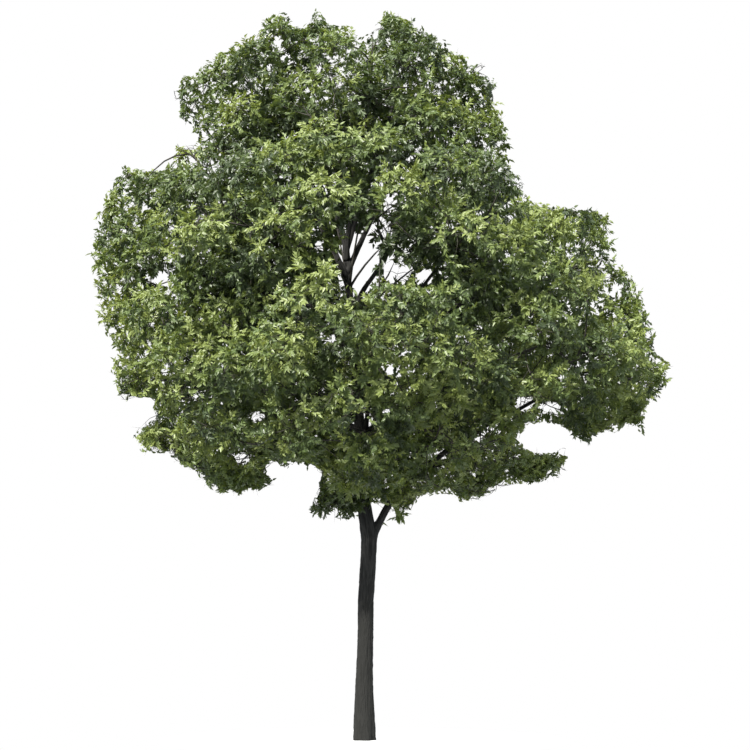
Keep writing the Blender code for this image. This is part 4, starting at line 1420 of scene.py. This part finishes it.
class HackberryStage(bpy.types.PropertyGroup):
    """The floor and the light."""

    floor_radius: size_setting("Floor radius", "Radius of the floor", 3.2, unit="LENGTH")
    sun_strength: size_setting("Sun", "Strength of the sun", 8.9)
    sky_strength: size_setting("Sky", "Strength of the sky", 1.32)


# Operators


def nodes_of(prefix, tiers=LOW_TIERS + HIGH_TIERS):
    """Names of the frame's nodes of some tiers."""
    counts = [(name, count) for name, count, *_ in TIERS if name in tiers]
    return [f"{prefix}_{name}_{index + 1}" for name, count in counts for index in range(count)]


def hand_over(piece, nodes):
    """Put a piece on the tree's body in place of some of the frame's nodes."""
    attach(piece, "root")
    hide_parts(*nodes)


class HACKBERRY_OT_bark(bpy.types.Operator):
    """Cover the trunk and the boughs in furrowed bark"""

    bl_idname = "hackberry.bark"
    bl_label = "Bark"

    def execute(self, context):
        settings = context.scene.hackberry_bark
        trunk, *boughs = lay_out_tree()[1]
        limbs = [trunk]
        for bough in boughs:
            limbs.append(set_in(bough, [trunk] + [other for other in boughs if other is not bough]))
        arrays = []
        for limb in limbs:
            arrays.append(bark_arrays(limb, [other for other in limbs if other is not limb], settings))
        piece = bark_piece("bark_trunk", arrays[:1], bark_material("trunk_bark", settings, True))
        hand_over(piece, ["trunk"])
        piece = bark_piece("bark_boughs", arrays[1:], bark_material("bough_bark", settings, False))
        hand_over(piece, nodes_of("bough"))
        return {"FINISHED"}


class HACKBERRY_OT_twigs(bpy.types.Operator):
    """Grow the twigs and the last shoots"""

    bl_idname = "hackberry.twigs"
    bl_label = "Twigs"

    def execute(self, context):
        stems, mains, *parts = grow_crown()
        _, shoot = leaf_arrays(*leaf_sizes(context.scene.hackberry_foliage))
        clumps, tufts, shoots = leafy_twigs(shoot, *parts)
        material = new_material("young_bark", context.scene.hackberry_bark.twig_colour, 0.75)[0]
        steps = ((stems, 2), (mains, 4), (clumps, 4), (tufts, 2))
        twigs = joined_arrays([twig_arrays(*pair) for pair in steps])
        for name, arrays in (("twigs", twigs), ("shoots", twig_arrays(shoots, 1))):
            hand_over(mesh_piece(name, *arrays, material), nodes_of("foliage"))
        return {"FINISHED"}


class HACKBERRY_OT_leaves(bpy.types.Operator):
    """Set the leaves on the shoots, a tint to each shoot"""

    bl_idname = "hackberry.leaves"
    bl_label = "Leaves"

    def execute(self, context):
        settings = context.scene.hackberry_foliage
        _, _, clumps, _, shoots = grow_crown()
        points, shoot = leaf_arrays(*leaf_sizes(settings))
        tints = shoot_tints()[shoot]
        low_mass = np.array([mass.name.split("_")[0] in LOW_TIERS for mass in lay_out_tree()[0]])
        low = low_mass[clumps.group[shoots.clump]][shoot]
        # One leaf material for each tint: lit and shaded copies of one green, which is painted light and
        # shade.
        for number, tint in enumerate(TINTS):
            material = leaf_material("leaf_" + tint, getattr(settings, tint + "_tint"), settings)
            for part, tiers, chosen in (("low", LOW_TIERS, low), ("high", HIGH_TIERS, ~low)):
                leaves = points[(tints == number) & chosen]
                first = leaves.shape[1] * np.arange(len(leaves))[:, None, None]
                faces = (LEAF_FACES[None] + first).reshape(-1, 3)
                piece = mesh_piece(f"leaves_{tint}_{part}", leaves.reshape(-1, 3), faces, material)
                hand_over(piece, nodes_of("foliage", tiers))
        return {"FINISHED"}


class HACKBERRY_OT_stage(bpy.types.Operator):
    """Set out the floor, the light and the camera"""

    bl_idname = "hackberry.stage"
    bl_label = "Stage"

    def execute(self, context):
        settings = context.scene.hackberry_stage
        scene = context.scene
        rim = np.zeros((FLOOR_SIDES + 1, 3))
        rim[:-1, :2] = settings.floor_radius * circle(FLOOR_SIDES)
        rim[:, 2] = FLOOR_HEIGHT
        corner = np.arange(FLOOR_SIDES)
        faces = np.stack((corner, (corner + 1) % FLOOR_SIDES, np.full(FLOOR_SIDES, FLOOR_SIDES)), 1)
        glow = {"Emission_Color": WHITE, "Emission_Strength": 0.80}
        material = new_material("pale_floor", (0.35, 0.35, 0.35), 0.9, **glow)[0]
        mesh_piece("floor", rim, faces, material)

        lamp = bpy.data.lights.new("sun", "SUN")
        lamp.energy = settings.sun_strength
        lamp.angle = math.radians(3.0)
        lamp.color = (1.0, 0.965, 0.90)
        sun = bpy.data.objects.new("sun", lamp)
        scene.collection.objects.link(sun)
        sun.rotation_mode = "QUATERNION"
        sun.rotation_quaternion = Vector(SUN_WAY).to_track_quat("-Z", "Y")

        world = bpy.data.worlds.new("sky")
        world.use_nodes = True
        scene.world = world
        tree = world.node_tree
        tree.nodes.clear()
        link = tree.links.new
        path = add_node(tree, "LightPath")
        place = add_node(tree, "TexCoord")
        split = add_node(tree, "SeparateXYZ")
        span = {"From_Min": -0.3, "From_Max": 0.6, "To_Min": 0.44, "To_Max": settings.sky_strength}
        rise = add_node(tree, "MapRange", **span)
        soft = add_node(tree, "Background", Color=(0.88, 0.95, 1.0, 1.0))
        plain = add_node(tree, "Background", Color=WHITE)
        mix = add_node(tree, "MixShader")
        output = add_node(tree, "OutputWorld")
        link(place.outputs["Generated"], split.inputs["Vector"])
        link(split.outputs["Z"], rise.inputs["Value"])
        link(rise.outputs["Result"], soft.inputs["Strength"])
        link(path.outputs["Is Camera Ray"], mix.inputs["Fac"])
        link(soft.outputs["Background"], mix.inputs[1])
        link(plain.outputs["Background"], mix.inputs[2])
        link(mix.outputs["Shader"], output.inputs["Surface"])

        lens = bpy.data.cameras.new("camera")
        lens.lens = CAMERA_LENS
        lens.sensor_width = 36.0
        lens.clip_end = 200.0
        camera = bpy.data.objects.new("camera", lens)
        scene.collection.objects.link(camera)
        camera.location = CAMERA_PLACE
        camera.rotation_euler = (math.radians(90.0 + VIEW_TILT), 0.0, 0.0)
        scene.camera = camera
        scene.view_settings.view_transform = "Standard"
        return {"FINISHED"}


class HACKBERRY_PT_panel(bpy.types.Panel):
    """Hackberry tree"""

    bl_idname = "HACKBERRY_PT_panel"
    bl_label = "Hackberry tree"
    bl_space_type = "VIEW_3D"
    bl_region_type = "UI"
    bl_category = "Hackberry"

    def draw(self, context):
        for operator in OPERATORS:
            self.layout.operator(operator.bl_idname)
        for _, group in GROUPS:
            settings = getattr(context.scene, group)
            box = self.layout.box()
            for name in settings.bl_rna.properties.keys():
                if name not in ("rna_type", "name"):
                    box.prop(settings, name)


OPERATORS = (HACKBERRY_OT_bark, HACKBERRY_OT_twigs, HACKBERRY_OT_leaves, HACKBERRY_OT_stage)
GROUPS = (
    (HackberryBark, "hackberry_bark"),
    (HackberryFoliage, "hackberry_foliage"),
    (HackberryStage, "hackberry_stage"),
)


def register():
    """Make the settings, the operators and the panel known to Blender."""
    for group, name in GROUPS:
        bpy.utils.register_class(group)
        setattr(bpy.types.Scene, name, bpy.props.PointerProperty(type=group))
    for operator in OPERATORS:
        bpy.utils.register_class(operator)
    bpy.utils.register_class(HACKBERRY_PT_panel)


def unregister():
    """Take them away again."""
    bpy.utils.unregister_class(HACKBERRY_PT_panel)
    for operator in reversed(OPERATORS):
        bpy.utils.unregister_class(operator)
    for group, name in reversed(GROUPS):
        delattr(bpy.types.Scene, name)
        bpy.utils.unregister_class(group)


def main():
    """Build the tree and its stage."""
    register()
    bpy.ops.hackberry.bark()
    bpy.ops.hackberry.twigs()
    bpy.ops.hackberry.leaves()
    bpy.ops.hackberry.stage()


if __name__ == "__main__":
    main()
